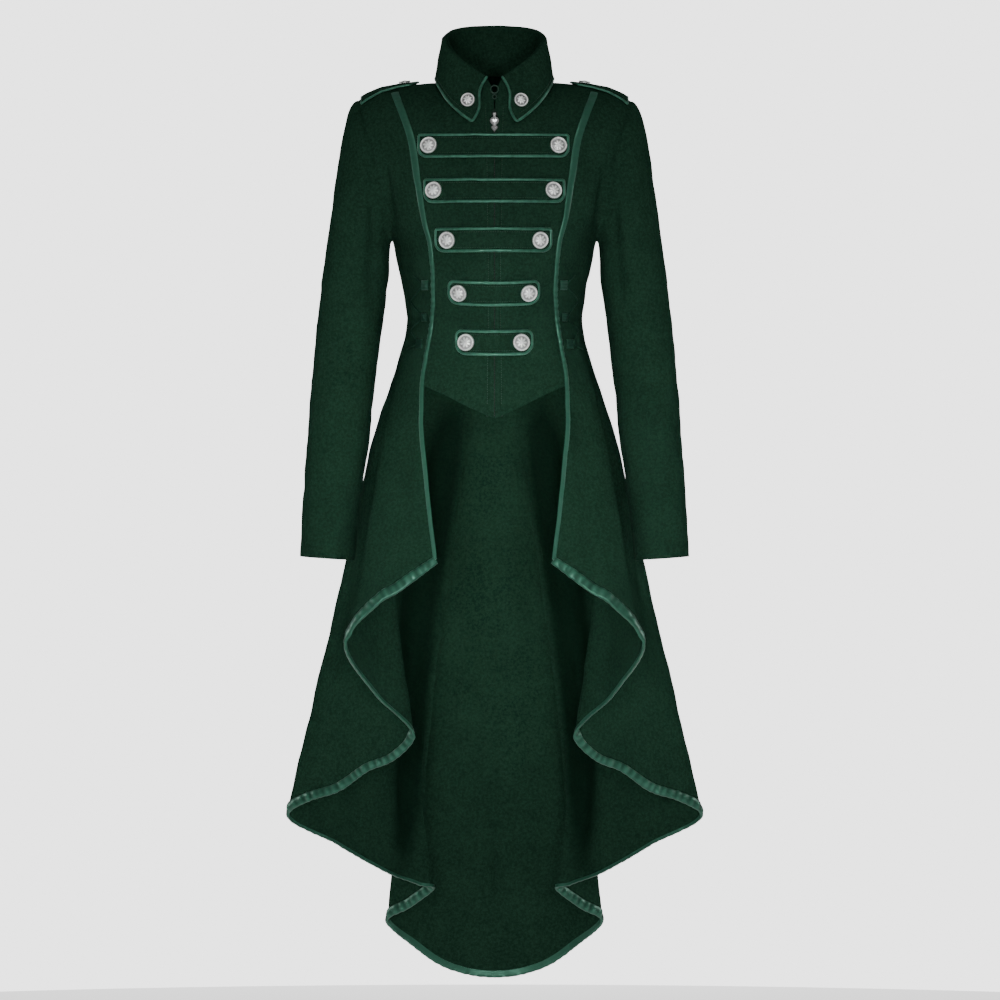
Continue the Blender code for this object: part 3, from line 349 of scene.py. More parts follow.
# Creases of the body seen from the front: ends, half width and depth (minus is a trough)
FRONT_CREASES = table(
    "x1 z1 x2 z2 width depth",
    (146, -178, 112, -246, 9, -3.2),
    (151, -112, 140, -220, 7, -8.5),
    (-151, -108, -139, -218, 7, -9.0),
    (134, -232, 98, -262, 6, -1.6),
    (-144, -174, -110, -250, 10, -3.0),
    (-131, -240, -97, -260, 6, -1.4),
    (120, -318, 90, -330, 6, -1.9),
    (122, -340, 92, -346, 5, -1.4),
    (118, -292, 92, -300, 5, -1.3),
    (-121, -312, -92, -326, 6, -1.8),
    (-122, -338, -96, -352, 6, -1.5),
    (-118, -286, -94, -296, 5, -1.2),
    (-70, -312, -16, -322, 6, -1.3),
    (10, -326, 66, -314, 6, -1.2),
    (-64, -378, -20, -392, 7, -1.1),
    (22, -388, 70, -374, 7, -1.2),
    (-14, -118, -16, -200, 6, -0.9),
    (15, -174, 13, -268, 6, -0.9),
    (-17, -240, -15, -334, 7, -1.0),
    (16, -372, 18, -444, 8, -1.1),
    (-15, -376, -19, -446, 8, -1.2),
    (4.5, -104, 4.5, -440, 3, 0.5),
    (-4.5, -104, -4.5, -440, 3, 0.5),
    (122, -84, 130, -192, 14, -2.6),
    (-124, -80, -132, -186, 15, -2.4),
    (150, -62, 136, -132, 10, -1.8),
    (-148, -66, -138, -128, 9, -2.0),
    (108, -60, 112, -150, 9, 1.3),
    (-108, -54, -113, -146, 9, 1.2),
    (112, -418, 138, -690, 15, -4.4),
    (-114, -424, -134, -670, 16, -4.2),
    (98, -450, 106, -640, 9, 2.2),
    (-100, -440, -110, -630, 10, 2.0),
    (152, -470, 180, -700, 13, 3.6),
    (-150, -460, -184, -700, 14, 3.4),
    (194, -540, 214, -800, 13, -10.0),
    (-196, -545, -213, -790, 13, -10.5),
    (222, -640, 246, -900, 10, 2.6),
    (-226, -650, -244, -880, 11, 2.4),
    (138, -372, 170, -500, 9, -2.6),
    (-136, -368, -166, -490, 10, -2.4),
    (128, -560, 142, -720, 8, -2.0),
    (-130, -570, -140, -710, 8, -2.2),
)

# Creases of the body seen from behind, and on the inside of the tail
BACK_CREASES = table(
    "x1 z1 x2 z2 width depth",
    (-30, -470, -46, -980, 10, 3.6),
    (27, -480, 38, -900, 9, 3.2),
    (-8, -520, -12, -1010, 10, -3.0),
    (2, -1030, 1, -1112, 5, 7.0),
    (14, -860, 20, -1080, 10, -3.4),
    (-14, -960, -22, -1110, 9, -2.8),
    (128, -520, 172, -900, 16, -4.0),
    (-130, -540, -176, -880, 17, -4.2),
    (150, -540, 212, -860, 15, 3.2),
    (-152, -520, -216, -850, 14, 3.4),
    (92, -900, 120, -1040, 11, -3.0),
    (-94, -890, -122, -1030, 11, -2.8),
    (-72, -300, -16, -312, 6, -1.8),
    (8, -322, 78, -306, 7, -1.7),
    (-60, -336, 4, -330, 5, -1.3),
    (24, -286, 92, -270, 7, -1.4),
    (-96, -262, -34, -284, 7, -1.4),
    (122, -186, 88, -254, 9, -2.6),
    (-124, -180, -90, -250, 9, -2.8),
    (150, -76, 112, -176, 12, -2.2),
    (-148, -80, -114, -180, 12, -2.0),
    (46, -60, 20, -134, 12, -1.4),
    (-44, -56, -18, -128, 12, -1.3),
)

# Deep fold on each side of the tail's middle, running down it: distance out, half width
# and depth
TAIL_FOLD = table(
    "height out width deep",
    (-395, 50, 25, 0),
    (-425, 55, 25, 3),
    (-455, 60, 24, 10),
    (-490, 66, 23, 17),
    (-530, 72, 22, 22),
    (-590, 80, 21, 25),
    (-660, 92, 22, 27),
    (-720, 100, 21, 26),
    (-800, 106, 19, 25),
    (-880, 112, 18, 23),
    (-960, 117, 17, 18),
    (-1040, 121, 15, 8),
    (-1085, 123, 14, 0),
)

# Creases of the sleeves, from the front and from behind
SLEEVE_FRONT_CREASES = table(
    "x1 z1 x2 z2 width depth",
    (163, -140, 157, -222, 9, -5.0),
    (-164, -136, -156, -224, 9, -5.2),
    (152, -136, 170, -320, 9, -6.0),
    (166, -110, 196, -260, 12, -2.2),
    (204, -100, 224, -340, 15, 2.2),
    (178, -62, 208, -132, 8, -1.8),
    (234, -338, 190, -362, 9, -2.3),
    (230, -366, 172, -390, 8, -2.6),
    (240, -400, 198, -408, 7, -1.7),
    (214, -344, 190, -376, 6, 1.2),
    (186, -410, 212, -570, 13, -2.4),
    (230, -440, 246, -610, 12, 2.2),
    (200, -588, 250, -608, 8, -1.3),
    (196, -520, 240, -548, 9, -1.2),
    (-154, -132, -168, -316, 10, -5.8),
    (-168, -108, -194, -250, 11, -2.3),
    (-206, -110, -226, -360, 16, 2.1),
    (-176, -66, -210, -126, 8, -1.7),
    (-236, -346, -186, -368, 9, -2.2),
    (-228, -374, -176, -396, 8, -2.8),
    (-238, -410, -200, -422, 8, -1.6),
    (-214, -354, -190, -384, 6, 1.3),
    (-188, -420, -216, -580, 14, -2.3),
    (-232, -450, -248, -600, 12, 2.1),
    (-202, -582, -244, -600, 8, -1.4),
    (-198, -500, -240, -530, 9, -1.3),
)
SLEEVE_BACK_CREASES = table(
    "x1 z1 x2 z2 width depth",
    (150, -150, 190, -330, 12, -3.2),
    (176, -90, 216, -230, 12, -2.0),
    (234, -328, 180, -354, 10, -2.0),
    (236, -360, 174, -382, 8, -2.6),
    (234, -394, 194, -406, 9, -1.6),
    (206, -420, 228, -600, 14, -2.0),
    (188, -440, 200, -600, 10, 1.8),
    (-152, -144, -188, -320, 12, -3.0),
    (-178, -94, -212, -240, 13, -2.2),
    (-234, -338, -182, -358, 10, -2.0),
    (-234, -368, -178, -386, 8, -2.5),
    (-234, -402, -196, -414, 9, -1.6),
    (-204, -426, -230, -590, 13, -2.1),
    (-186, -436, -202, -596, 10, 1.7),
)


def smooth(rows, name, at):
    """Cubic curve through a table's column, with slopes from the neighbouring rows."""
    keys = next(iter(rows.values()))
    values = rows[name]
    at = np.clip(at, keys[0], keys[-1])
    slopes = np.gradient(values, keys)
    place = np.clip(np.searchsorted(keys, at, side="right") - 1, 0, len(keys) - 2)
    step = keys[place + 1] - keys[place]
    t = (at - keys[place]) / step
    start = values[place] * (1 + 2 * t) + slopes[place] * step * t
    end = values[place + 1] * (3 - 2 * t) - slopes[place + 1] * step * (1 - t)
    return start * (1 - t) ** 2 + end * t**2


def straight(rows, name, at):
    """Straight lines between a table's rows."""
    return np.interp(at, next(iter(rows.values())), rows[name])


def unit(vectors):
    """Vectors divided by their lengths."""
    return vectors / np.maximum(np.linalg.norm(vectors, axis=-1, keepdims=True), 1e-12)


def stacked(*parts):
    """Parts, spread to one shape, as the last axis of an array."""
    return np.stack(np.broadcast_arrays(*parts), axis=-1)


def full_turn(count):
    """Angles evenly round a full turn."""
    return np.linspace(0, ROUND, count, endpoint=False)


def ease(t):
    """From 0 to 1 along half a cosine, level at both ends."""
    return (1 - np.cos(np.pi * t)) / 2


def sided(points, side):
    """The same points on the wearer's left (+1) or right (-1)."""
    return points * np.array([side, 1.0, 1.0])


SIDES = ((1, "left"), (-1, "right"))


def side_panels(word, *names):
    """Names of cloth panels on one side."""
    return [f"cloth_{name}_{word}" for name in names]


def run_length(points, axis=0):
    """Length walked along an axis of a grid of points, from 0."""
    steps = np.linalg.norm(np.diff(points, axis=axis), axis=-1)
    first = np.zeros_like(np.take(steps, [0], axis=axis))
    return np.concatenate([first, np.cumsum(steps, axis=axis)], axis=axis)


def sampled(at, walked, values):
    """A row of vectors read off at given lengths, in straight lines between its places."""
    return np.stack([np.interp(at, walked, column) for column in values.T], axis=-1)


def softened(values, times):
    """Neighbours averaged a few times, with the ends kept."""
    values = values.copy()
    for _ in range(times):
        values[1:-1] = (values[:-2] + values[1:-1] * 2 + values[2:]) / 4
    return values


def depth_at(angle, height):
    """Depth of the torso's section at an angle from the middle of the front."""
    reach = np.abs(np.cos(angle)) ** FLATTER
    front = smooth(SECTIONS, "front", height)
    back = smooth(SECTIONS, "back", height)
    return np.where(np.cos(angle) >= 0, -front * reach, back * reach)


def rounding(angle, out, height):
    """0 on the shoulder ridge, 1 where the section has its full depth: a quarter circle."""
    roof = np.where(np.cos(angle) >= 0, ROOF_FRONT, ROOF_BACK)
    drop = np.clip((straight(TOP, "ridge", out) - height) / roof, 0, 1)
    return np.sqrt(1 - (1 - drop) ** 2)


def torso(angle, height):
    """Torso without folds: out is the half width times the sine of the angle, and the
    depth is the section's depth there, drawn to the ridge near the shoulder."""
    out = smooth(SECTIONS, "side", height) * np.sin(angle)
    share = rounding(angle, out, height)
    return out, RIDGE_DEEP * (1 - share) + depth_at(angle, height) * share


def front_deep(out, height):
    """Depth of the front of the torso at a distance out and a height."""
    angle = np.arcsin(np.clip(np.abs(out) / smooth(SECTIONS, "side", height), 0, 1))
    return torso(angle, height)[1]


def girth_angle(across, height):
    """Angle round the section for a place across the cloth, even between the seams."""
    side = smooth(SECTIONS, "side", height)
    front_out = smooth(LINES, "front", height)
    back_out = smooth(LINES, "back", height)
    front = np.arcsin(np.clip(front_out / side, 0, 1))
    back = np.arcsin(np.clip(back_out / side, 0, 1))
    reach = np.clip(smooth(ARMHOLE, "out", height) / side, 0, 1)
    arm = np.where(height < PIT, np.pi / 2, np.arcsin(reach))
    middle = HALF_ZIP + (front_out - HALF_ZIP) * np.clip(across + 1, 0, 1)
    tail = back_out * np.clip(3 - across, 0, 1)
    return np.select(
        [across < 0, across <= 1, across < 2],
        [
            np.arcsin(np.clip(middle / side, 0, 1)),
            front + (arm - front) * across,
            np.pi - arm + (arm - back) * (across - 1),
        ],
        np.pi - np.arcsin(np.clip(tail / side, 0, 1)),
    )


def top_height(across):
    """Height of the top edge, where the column meets the neckline or the shoulder. It is
    found by going half the way to it, again and again."""
    height = np.zeros_like(across)
    for _ in range(40):
        out = smooth(SECTIONS, "side", height) * np.sin(girth_angle(across, height))
        edge = np.where(across > 1, straight(TOP, "back", out), straight(TOP, "front", out))
        height = (height + edge) / 2
    return height


def coat(across, level):
    """Outer face of the coat's left half: the torso's section at the height of the level,
    moved towards the folded hem by a growing share below the fold's start.

    Across: -1 at the zip, 0 at the front edge, 1 side seam, 2 back seam, 3 middle of the
    back. Level: 0 top edge, 1 armpit, 2 hip (or the pointed edge in front), 3 hem.
    """
    across, level = np.broadcast_arrays(np.asarray(across, float), np.asarray(level, float))
    top = np.broadcast_to(top_height(across[:1]), across.shape)
    skirt = np.clip(across, 0, 3)
    hip = np.where(across < 0, straight(POINT, "height", across + 1), HIP)
    hem = smooth(FOLDS, "height", skirt)
    upper = top + (PIT - top) * ease(np.clip(level, 0, 1))
    middle = PIT + (hip - PIT) * np.clip(level - 1, 0, 1)
    knee = 3 - LAST_SHARE
    lower = hip + (hem + HEM_ROW - hip) * np.clip((level - 2) / (knee - 2), 0, 1)
    lowest = hem + HEM_ROW * np.clip((3 - level) / (3 - knee), 0, 1)
    height = np.select([level < 1, level < 2, level < knee], [upper, middle, lower], lowest)
    out, deep = torso(girth_angle(across, height), height)
    hem_out, hem_deep = torso(girth_angle(across, hem), hem)
    start = smooth(FOLDS, "start", skirt)
    share = np.clip((start - height) / (start - hem), 0, 1)
    share = np.where(across < 0, 0, share**FOLD_GROWTH)
    out = out + (smooth(FOLDS, "out", skirt) - hem_out) * share
    deep = deep + (smooth(FOLDS, "deep", skirt) - hem_deep) * share
    return stacked(out, deep, height)


# Steps across and down the coat, by which its outward directions are found
COAT_STEP = 0.004


def coat_normal(across, level, limits=(0, 3)):
    """Outward direction of the coat, from small steps that stay inside the limits above
    the armpit, where front and back are parted, and inside the skirt's edges below it."""
    across, level = np.broadcast_arrays(np.asarray(across, float), np.asarray(level, float))
    low = np.where(level < 1, limits[0], min(limits[0], 0))
    high = np.where(level < 1, limits[1], 3 if limits[1] > 0 else limits[1])
    after = coat(np.clip(across + COAT_STEP, low, high), level)
    before = coat(np.clip(across - COAT_STEP, low, high), level)
    below = coat(across, np.clip(level + COAT_STEP, 0, 3))
    above = coat(across, np.clip(level - COAT_STEP, 0, 3))
    return unit(np.cross(below - above, after - before))


def with_normals(surface, first, second):
    """Points of a surface at two distances along it, and its outward directions: the cross
    product of its changes over a millimetre each way."""
    step = 1 * MM
    first, second = np.broadcast_arrays(np.asarray(first, float), np.asarray(second, float))
    along = surface(first + step, second) - surface(first - step, second)
    across = surface(first, second + step) - surface(first, second - step)
    return surface(first, second), unit(np.cross(along, across))


def front_point(out, height):
    """Points and outward directions on the front, from distances out and heights."""
    return with_normals(lambda x, z: stacked(x, front_deep(x, z), z), out, height)


def crease(points, rows):
    """Sum of soft troughs: each is its depth times a bell curve of the distance from its
    line in the front view, fading to nothing at both ends."""
    total = np.zeros(points.shape[:-1])
    for x1, z1, x2, z2, width, depth in zip(*rows.values()):
        run = np.array([x2 - x1, z2 - z1])
        away = np.stack([points[..., 0] - x1, points[..., 2] - z1], axis=-1)
        along = np.clip((away @ run) / (run @ run), 0, 1)
        gap = np.linalg.norm(away - along[..., None] * run, axis=-1)
        total += depth * np.exp(-((gap / width) ** 2)) * np.sqrt(np.sin(np.pi * along) + 1e-9)
    return total


# Slow unevenness of made-up cloth: wave lengths in three directions, and its size; how
# far one wave is shifted from the next, and how much and how slowly the waves bend
UNEVEN = (
    (46, 0, 71, 0.22),
    (0, 53, 37, 0.18),
    (91, 60, 128, 0.35),
    (24, 31, 29, 0.10),
)
UNEVEN_SHIFT = 1.7
UNEVEN_BEND = 0.9
UNEVEN_BEND_LENGTH = 137 * MM

# How quickly creases fade in as the cloth turns to the front or the back
FACING_RISE = 2.5

# Sway of the tail's folds: how far, and over what height
TAIL_SWAY = 2.5 * MM
TAIL_SWAY_HEIGHT = 70 * MM


def unevenness(points):
    """Sum of sine waves across the cloth, a few centimetres long, each bent a little by
    another sine wave."""
    total = np.zeros(points.shape[:-1])
    for number, (x, y, z, size) in enumerate(UNEVEN):
        phase = number * UNEVEN_SHIFT
        for place, length in enumerate((x, y, z)):
            if length:
                bend = np.sin(points[..., 2 - place] * ROUND / UNEVEN_BEND_LENGTH)
                phase = phase + points[..., place] * ROUND / (length * MM) + UNEVEN_BEND * bend
        total += size * MM * np.sin(phase)
    return total


def behind(points, normal):
    """1 where the cloth faces back, fading out towards the middle of the coat's depth."""
    facing = np.clip(normal[..., 1] * FACING_RISE, 0, 1)
    return facing * np.clip(points[..., 1] / BACK_FADE, 0, 1)


def shaped(points, normal, front, back):
    """How far creases and unevenness move the cloth along its outward direction."""
    facing = np.clip(-normal[..., 1] * FACING_RISE, 0, 1)
    move = facing * crease(points, front) + behind(points, normal) * crease(points, back)
    return move + unevenness(points)


def tail_fold(points, normal):
    """Depth of the tail's folds: at each height a bell curve of the distance from the
    fold's line, which sways a little."""
    height = points[..., 2]
    sway = TAIL_SWAY * np.sin(height / TAIL_SWAY_HEIGHT + np.sign(points[..., 0]))
    gap = np.abs(points[..., 0]) - smooth(TAIL_FOLD, "out", height) - sway
    bell = np.exp(-((gap / smooth(TAIL_FOLD, "width", height)) ** 2))
    return behind(points, normal) * np.maximum(smooth(TAIL_FOLD, "deep", height), 0) * bell


def body_shape(points, normal):
    """How far the body's cloth is moved: creases and unevenness, plus the tail's folds."""
    return shaped(points, normal, FRONT_CREASES, BACK_CREASES) + tail_fold(points, normal)


def draped(points, normal):
    """Points on the body's surface, moved with its cloth."""
    return points + normal * body_shape(points, normal)[..., None]


# Gathers: least height of a crest and how much it varies, and greatest height of a trough
CREST_LEAST = 0.62
CREST_MORE = 0.38
TROUGH_MOST = 0.42


def gathers(along, pitch, seed, spread=0.45):
    """Uneven ripples along a length: random heights about a pitch apart, joined by
    half cosines, from 0 to 1."""
    dice = np.random.default_rng(seed)
    count = int(along.max() / pitch) + 4
    steps = pitch * (1 + spread * (dice.random(count) - 0.5) * 2)
    marks = np.concatenate([[0], np.cumsum(steps)]) - pitch
    heights = dice.random(count + 1)
    heights[::2] = CREST_LEAST + CREST_MORE * heights[::2]
    heights[1::2] *= TROUGH_MOST
    place = np.clip(np.searchsorted(marks, along, side="right") - 1, 0, count - 1)
    t = (along - marks[place]) / (marks[place + 1] - marks[place])
    return heights[place] + (heights[place + 1] - heights[place]) * ease(np.clip(t, 0, 1))


def flat_map(grid):
    """Cloth coordinates of a grid in metres: run across from the middle column, and run
    down each column."""
    across = run_length(grid, 1)
    middle = grid.shape[1] // 2
    return np.stack([across - across[:, middle : middle + 1], -run_length(grid, 0)], axis=-1)


def grid_quads(rows, columns, wrap=True, first=0, turned=False):
    """Faces of a grid of points; a wrapped one joins its last column to its first."""
    wide = columns if wrap else columns - 1
    row, column = np.meshgrid(np.arange(rows - 1), np.arange(wide), indexing="ij")
    beside = (column + 1) % columns
    quads = np.stack(
        [
            row * columns + column,
            (row + 1) * columns + column,
            (row + 1) * columns + beside,
            row * columns + beside,
        ],
        axis=-1,
    ).reshape(-1, 4)
    return first + (quads[:, ::-1] if turned else quads)


def fan(ring, middle, turned=False):
    """Triangles from each edge of a ring to a middle point."""
    triangles = np.stack([ring, np.roll(ring, -1), np.full(len(ring), middle)], axis=1)
    return triangles[:, ::-1] if turned else triangles


def capped(rings, ends):
    """Points and faces of a row of rings that is closed to a middle point at each end."""
    count, around = rings.shape[:2]
    ring = np.arange(around)
    last = ring + (count - 1) * around
    faces = [grid_quads(count, around), fan(ring, count * around)]
    faces.append(fan(last, count * around + 1, turned=True))
    return np.concatenate([rings.reshape(-1, 3), ends]), faces


def repeated(quads, count, corners, first=0):
    """Faces of a small shape for each of its copies, which have so many corners each."""
    return (first + quads + corners * np.arange(count)[:, None, None]).reshape(-1, 4)


def signed_volume(points, faces):
    """Volume inside closed faces; it is negative where they face inwards."""
    total = 0.0
    for part in faces:
        for corner in range(1, part.shape[1] - 1):
            a, b, c = points[part[:, 0]], points[part[:, corner]], points[part[:, corner + 1]]
            total += np.einsum("ij,ij->", a, np.cross(b, c))
    return total / 6


def make_mesh(name, points, faces, flat=None, finish_index=None, relief=None, crisp=180):
    """Mesh from arrays of points and faces, turned to face outwards, with its flat cloth
    coordinates and its relief. Edges sharper than the crisp angle aren't shaded round."""
    if signed_volume(points, faces) < 0:
        faces = [part[:, ::-1] for part in faces]
    mesh = bpy.data.meshes.new(name)
    corners = np.concatenate([part.ravel() for part in faces]).astype(np.int32)
    sizes = np.concatenate([np.full(len(part), part.shape[1]) for part in faces])
    mesh.vertices.add(len(points))
    mesh.vertices.foreach_set("co", np.asarray(points, np.float32).ravel())
    mesh.loops.add(len(corners))
    mesh.loops.foreach_set("vertex_index", corners)
    mesh.polygons.add(len(sizes))
    starts = np.concatenate([[0], np.cumsum(sizes)[:-1]]).astype(np.int32)
    mesh.polygons.foreach_set("loop_start", starts)
    mesh.polygons.foreach_set("use_smooth", np.ones(len(sizes), bool))
    if finish_index is not None:
        mesh.polygons.foreach_set("material_index", finish_index.astype(np.int32))
    mesh.update(calc_edges=True)
    if flat is not None:
        layer = mesh.uv_layers.new(name="cloth")
        layer.data.foreach_set("uv", flat[corners].astype(np.float32).ravel())
    if relief is not None:
        mark = mesh.attributes.new("relief", "FLOAT", "POINT")
        mark.data.foreach_set("value", relief.astype(np.float32))
    mesh.validate()
    mesh.set_sharp_from_angle(angle=math.radians(crisp))
    return mesh


def add_piece(mesh, finishes, nodes, body="coat"):
    """Object for a mesh, on its body, in place of the nodes that it stands for."""
    made = bpy.data.objects.new(mesh.name, mesh)
    bpy.context.scene.collection.objects.link(made)
    for finish in finishes:
        mesh.materials.append(finish)
    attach(made, body)
    if nodes:
        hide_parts(*nodes)
    return made


def rim_loop(rows, columns):
    """Indices round the edge of a grid, in order."""
    top = np.arange(columns)
    right = np.arange(1, rows) * columns + columns - 1
    foot = (rows - 1) * columns + np.arange(columns - 2, -1, -1)
    left = np.arange(rows - 2, 0, -1) * columns
    return np.concatenate([top, right, foot, left])


def declare_sheet(grid, wrap=False):
    """Works out the areas of a cloth piece's cells from its cut; nothing is kept or declared."""
    if wrap:
        grid = np.concatenate([grid, grid[:, :1]], axis=1)
    down, side = np.diff(grid, axis=0), np.diff(grid, axis=1)
    cells = np.linalg.norm(np.cross(down[:, :-1], side[:-1]), axis=-1)
    cells = (cells + np.linalg.norm(np.cross(down[:, 1:], side[1:]), axis=-1)) / 2


def cloth_wall(name, outer, inner, finishes, wrap, hollow):
    """Thin wall between two grids. Its edges are rounded: the outer face's last points stand back a
    little and a row of points between the faces lies on the true edge. A hollow share from 0 to 1,
    painted shade, is carried on the inner face's points."""
    rows, columns = outer.shape[:2]
    count = rows * columns
    middle = (outer + inner) / 2
    faces_out = outer.copy()
    ends = [(np.s_[0], np.s_[1]), (np.s_[-1], np.s_[-2])]
    if not wrap:
        ends += [(np.s_[:, 0], np.s_[:, 1]), (np.s_[:, -1], np.s_[:, -2])]
    for last, before in ends:
        step = outer[before] - outer[last]
        far = np.linalg.norm(step, axis=-1, keepdims=True)
        faces_out[last] += step / np.maximum(far, 1e-9) * np.minimum(EDGE_ROUND, far * 0.45)
    if wrap:
        loops = [np.arange(columns), (rows - 1) * columns + np.arange(columns)[::-1]]
    else:
        loops = [rim_loop(rows, columns)]
    points = [faces_out.reshape(-1, 3), inner.reshape(-1, 3)]
    quads = [
        grid_quads(rows, columns, wrap),
        grid_quads(rows, columns, wrap, count, turned=True),
    ]
    index = [np.zeros(len(quads[0])), np.ones(len(quads[1]))]
    first = 2 * count
    flat_grid = flat_map(outer).reshape(-1, 2)
    flat = [flat_grid, flat_grid]
    for loop in loops:
        here = first + np.arange(len(loop))
        points.append(middle.reshape(-1, 3)[loop])
        flat.append(flat_grid[loop])
        after = np.roll(np.arange(len(loop)), -1)
        quads.append(np.stack([loop, loop[after], here[after], here], axis=1))
        quads.append(np.stack([here, here[after], loop[after] + count, loop + count], axis=1))
        index += [np.zeros(len(loop)), np.zeros(len(loop))]
        first += len(loop)
    points = np.concatenate(points)
    if hollow is not None:
        rest = np.zeros(len(points) - 2 * count)
        hollow = np.concatenate([np.zeros(count), hollow.ravel(), rest])
    index = np.concatenate(index) if len(finishes) > 1 else None
    faces = [np.concatenate(quads)]
    return make_mesh(name, points, faces, np.concatenate(flat), index, hollow, WALL_CRISP)


def add_cloth(
    node, outer, inner, finishes,
    name=None, wrap=False, hollow=None,
):
    """Cloth piece for a node: a wall between two grids."""
    mesh = cloth_wall(name or f"cloth_{node}", outer, inner, finishes, wrap, hollow)
    piece = add_piece(mesh, finishes, [node])
    declare_sheet(outer, wrap)


def swept(name, rings, finish, nodes, body="coat", closed=False, relief=None):
    """Closed body along a row of like rings; open ends are closed to a middle point. Its
    cloth coordinates are the way round the middle ring and the length along the row."""
    count, around = rings.shape[:2]
    girth = np.linalg.norm(np.diff(rings[count // 2], axis=0), axis=-1).sum()
    turn = np.linspace(0, girth, around, endpoint=False)
    flat = stacked(turn, run_length(rings.mean(axis=1))[:, None]).reshape(-1, 2)
    if closed:
        points = rings.reshape(-1, 3)
        faces = [grid_quads(count + 1, around) % (count * around)]
    else:
        points, faces = capped(rings, rings[[0, -1]].mean(axis=1))
        flat = np.concatenate([flat, flat[[0, -1]]])
        if relief is not None:
            relief = np.concatenate([relief.ravel(), [0, 0]])
    mesh = make_mesh(name, points, faces, flat, relief=relief, crisp=SWEPT_CRISP)
    return add_piece(mesh, [finish], nodes, body)


def cord_rings(path, normal, half_wide, half_high, lift, around=12, closed=False):
    """Rings of a round cord lying on a surface: an ellipse across the path, its lower
    side flattened, resting at a lift above the surface."""
    ahead = np.roll(path, -1, axis=0) - np.roll(path, 1, axis=0)
    along = unit(ahead if closed else np.gradient(path, axis=0))
    across = unit(np.cross(along, normal))
    turn = full_turn(around)
    high = np.where(np.sin(turn) < 0, np.sin(turn) * CORD_FLAT, np.sin(turn))
    wide = np.broadcast_to(half_wide, len(path))[:, None, None]
    tall = np.broadcast_to(half_high, len(path))[:, None, None]
    centre = path[:, None] + normal[:, None] * (lift + tall * CORD_FLAT)
    sideways = across[:, None] * np.cos(turn)[None, :, None] * wide
    return centre + sideways + normal[:, None] * high[None, :, None] * tall


class Socket:
    """A shader value in an expression. Each operator adds one Math node."""

    def __init__(self, nodes, link):
        self.nodes = nodes
        self.link = link

    def math(self, operation, *values):
        """The value of a Math node on values or other sockets."""
        node = self.nodes.add("ShaderNodeMath", {"operation": operation}, dict(enumerate(values)))
        return Socket(self.nodes, node.outputs[0])

    def __add__(self, other):
        return self.math("ADD", self, other)

    def __sub__(self, other):
        return self.math("SUBTRACT", self, other)

    def __rsub__(self, other):
        return self.math("SUBTRACT", other, self)

    def __mul__(self, other):
        return self.math("MULTIPLY", self, other)

    __radd__ = __add__
    __rmul__ = __mul__

    def sine(self):
        """Sine of the value in radians."""
        return self.math("SINE", self)

    def between(self, low, high):
        """0 at the low value, 1 at the high one, smooth between them."""
        node = self.nodes.add(
            "ShaderNodeMapRange",
            {"interpolation_type": "SMOOTHSTEP"},
            {"Value": self, "From Min": low, "From Max": high},
        )
        return Socket(self.nodes, node.outputs[0])


class Nodes:
    """The nodes of a material or of the world."""

    def __init__(self, tree):
        self.tree = tree

    def add(self, kind, settings=None, values=None):
        """A node of a type, with its settings, then the values or links of its sockets."""
        node = self.tree.nodes.new(kind)
        for setting, value in (settings or {}).items():
            setattr(node, setting, value)
        self.feed(node, values or {})
        return node

    def feed(self, node, values):
        """Gives a node's sockets their values or links."""
        for socket, value in values.items():
            if isinstance(value, Socket):
                value = value.link
            if isinstance(value, bpy.types.NodeSocket):
                self.tree.links.new(value, node.inputs[socket])
            else:
                node.inputs[socket].default_value = value


class Finish(Nodes):
    """A material under construction: one Principled shader and what feeds it."""

    def __init__(self, name, constants):
        self.material = bpy.data.materials.new(name)
        self.material.use_nodes = True
        super().__init__(self.material.node_tree)
        self.shader = self.tree.nodes["Principled BSDF"]
        self.feed(self.shader, constants)
        self.place = self.add("ShaderNodeTexCoord").outputs["Object"]

    def cloth(self):
        """Cloth coordinates in metres: across and down."""
        uv = self.add("ShaderNodeUVMap", {"uv_map": "cloth"}).outputs[0]
        parts = self.add("ShaderNodeSeparateXYZ", None, {0: uv}).outputs
        return Socket(self, parts[0]), Socket(self, parts[1])

    def noise(self, size, detail=2.0, rough=0.5, where=None):
        """Noise whose lumps are about a size in metres across, from 0 to 1. It follows the
        object's own place unless told where."""
        where = self.place if where is None else where
        node = self.add(
            "ShaderNodeTexNoise",
            {"noise_dimensions": "3D"},
            {"Vector": where, "Scale": 1 / size, "Detail": detail, "Roughness": rough},
        )
        return Socket(self, node.outputs[0])

    def mix(self, share, first, second):
        """Colour between two colours."""
        node = self.add("ShaderNodeMix", {"data_type": "RGBA"}, {0: share, 6: first, 7: second})
        return node.outputs[2]

    def relief(self):
        """The relief that a piece carries at its points: how raised silver is, the painted highlight
        and painted shade of satin's gathers, and the painted shade of the inside wool's deep folds.
        """
        node = self.add("ShaderNodeAttribute", {"attribute_name": "relief"})
        return Socket(self, node.outputs["Fac"])

    def done(self, colour, roughness, height=None, strength=0.6):
        """The finished material: its colour, its roughness and a bump from a height in
        metres, with the bump's strength."""
        self.feed(self.shader, {"Base Color": colour, "Roughness": roughness})
        if height is not None:
            values = {"Strength": strength, "Distance": 1.0, "Height": height}
            self.feed(self.shader, {"Normal": self.add("ShaderNodeBump", None, values).outputs[0]})
        return self.material


def colour(red, green, blue):
    """A colour that hides what is behind it."""
    return (red, green, blue, 1.0)


def shaded(value, share):
    """A colour times a share."""
    return colour(*(part * share for part in value[:3]))


def waves(value, length):
    """Sine waves of a length along a coordinate, from -1 to 1."""
    return (value * (ROUND / length)).sine()


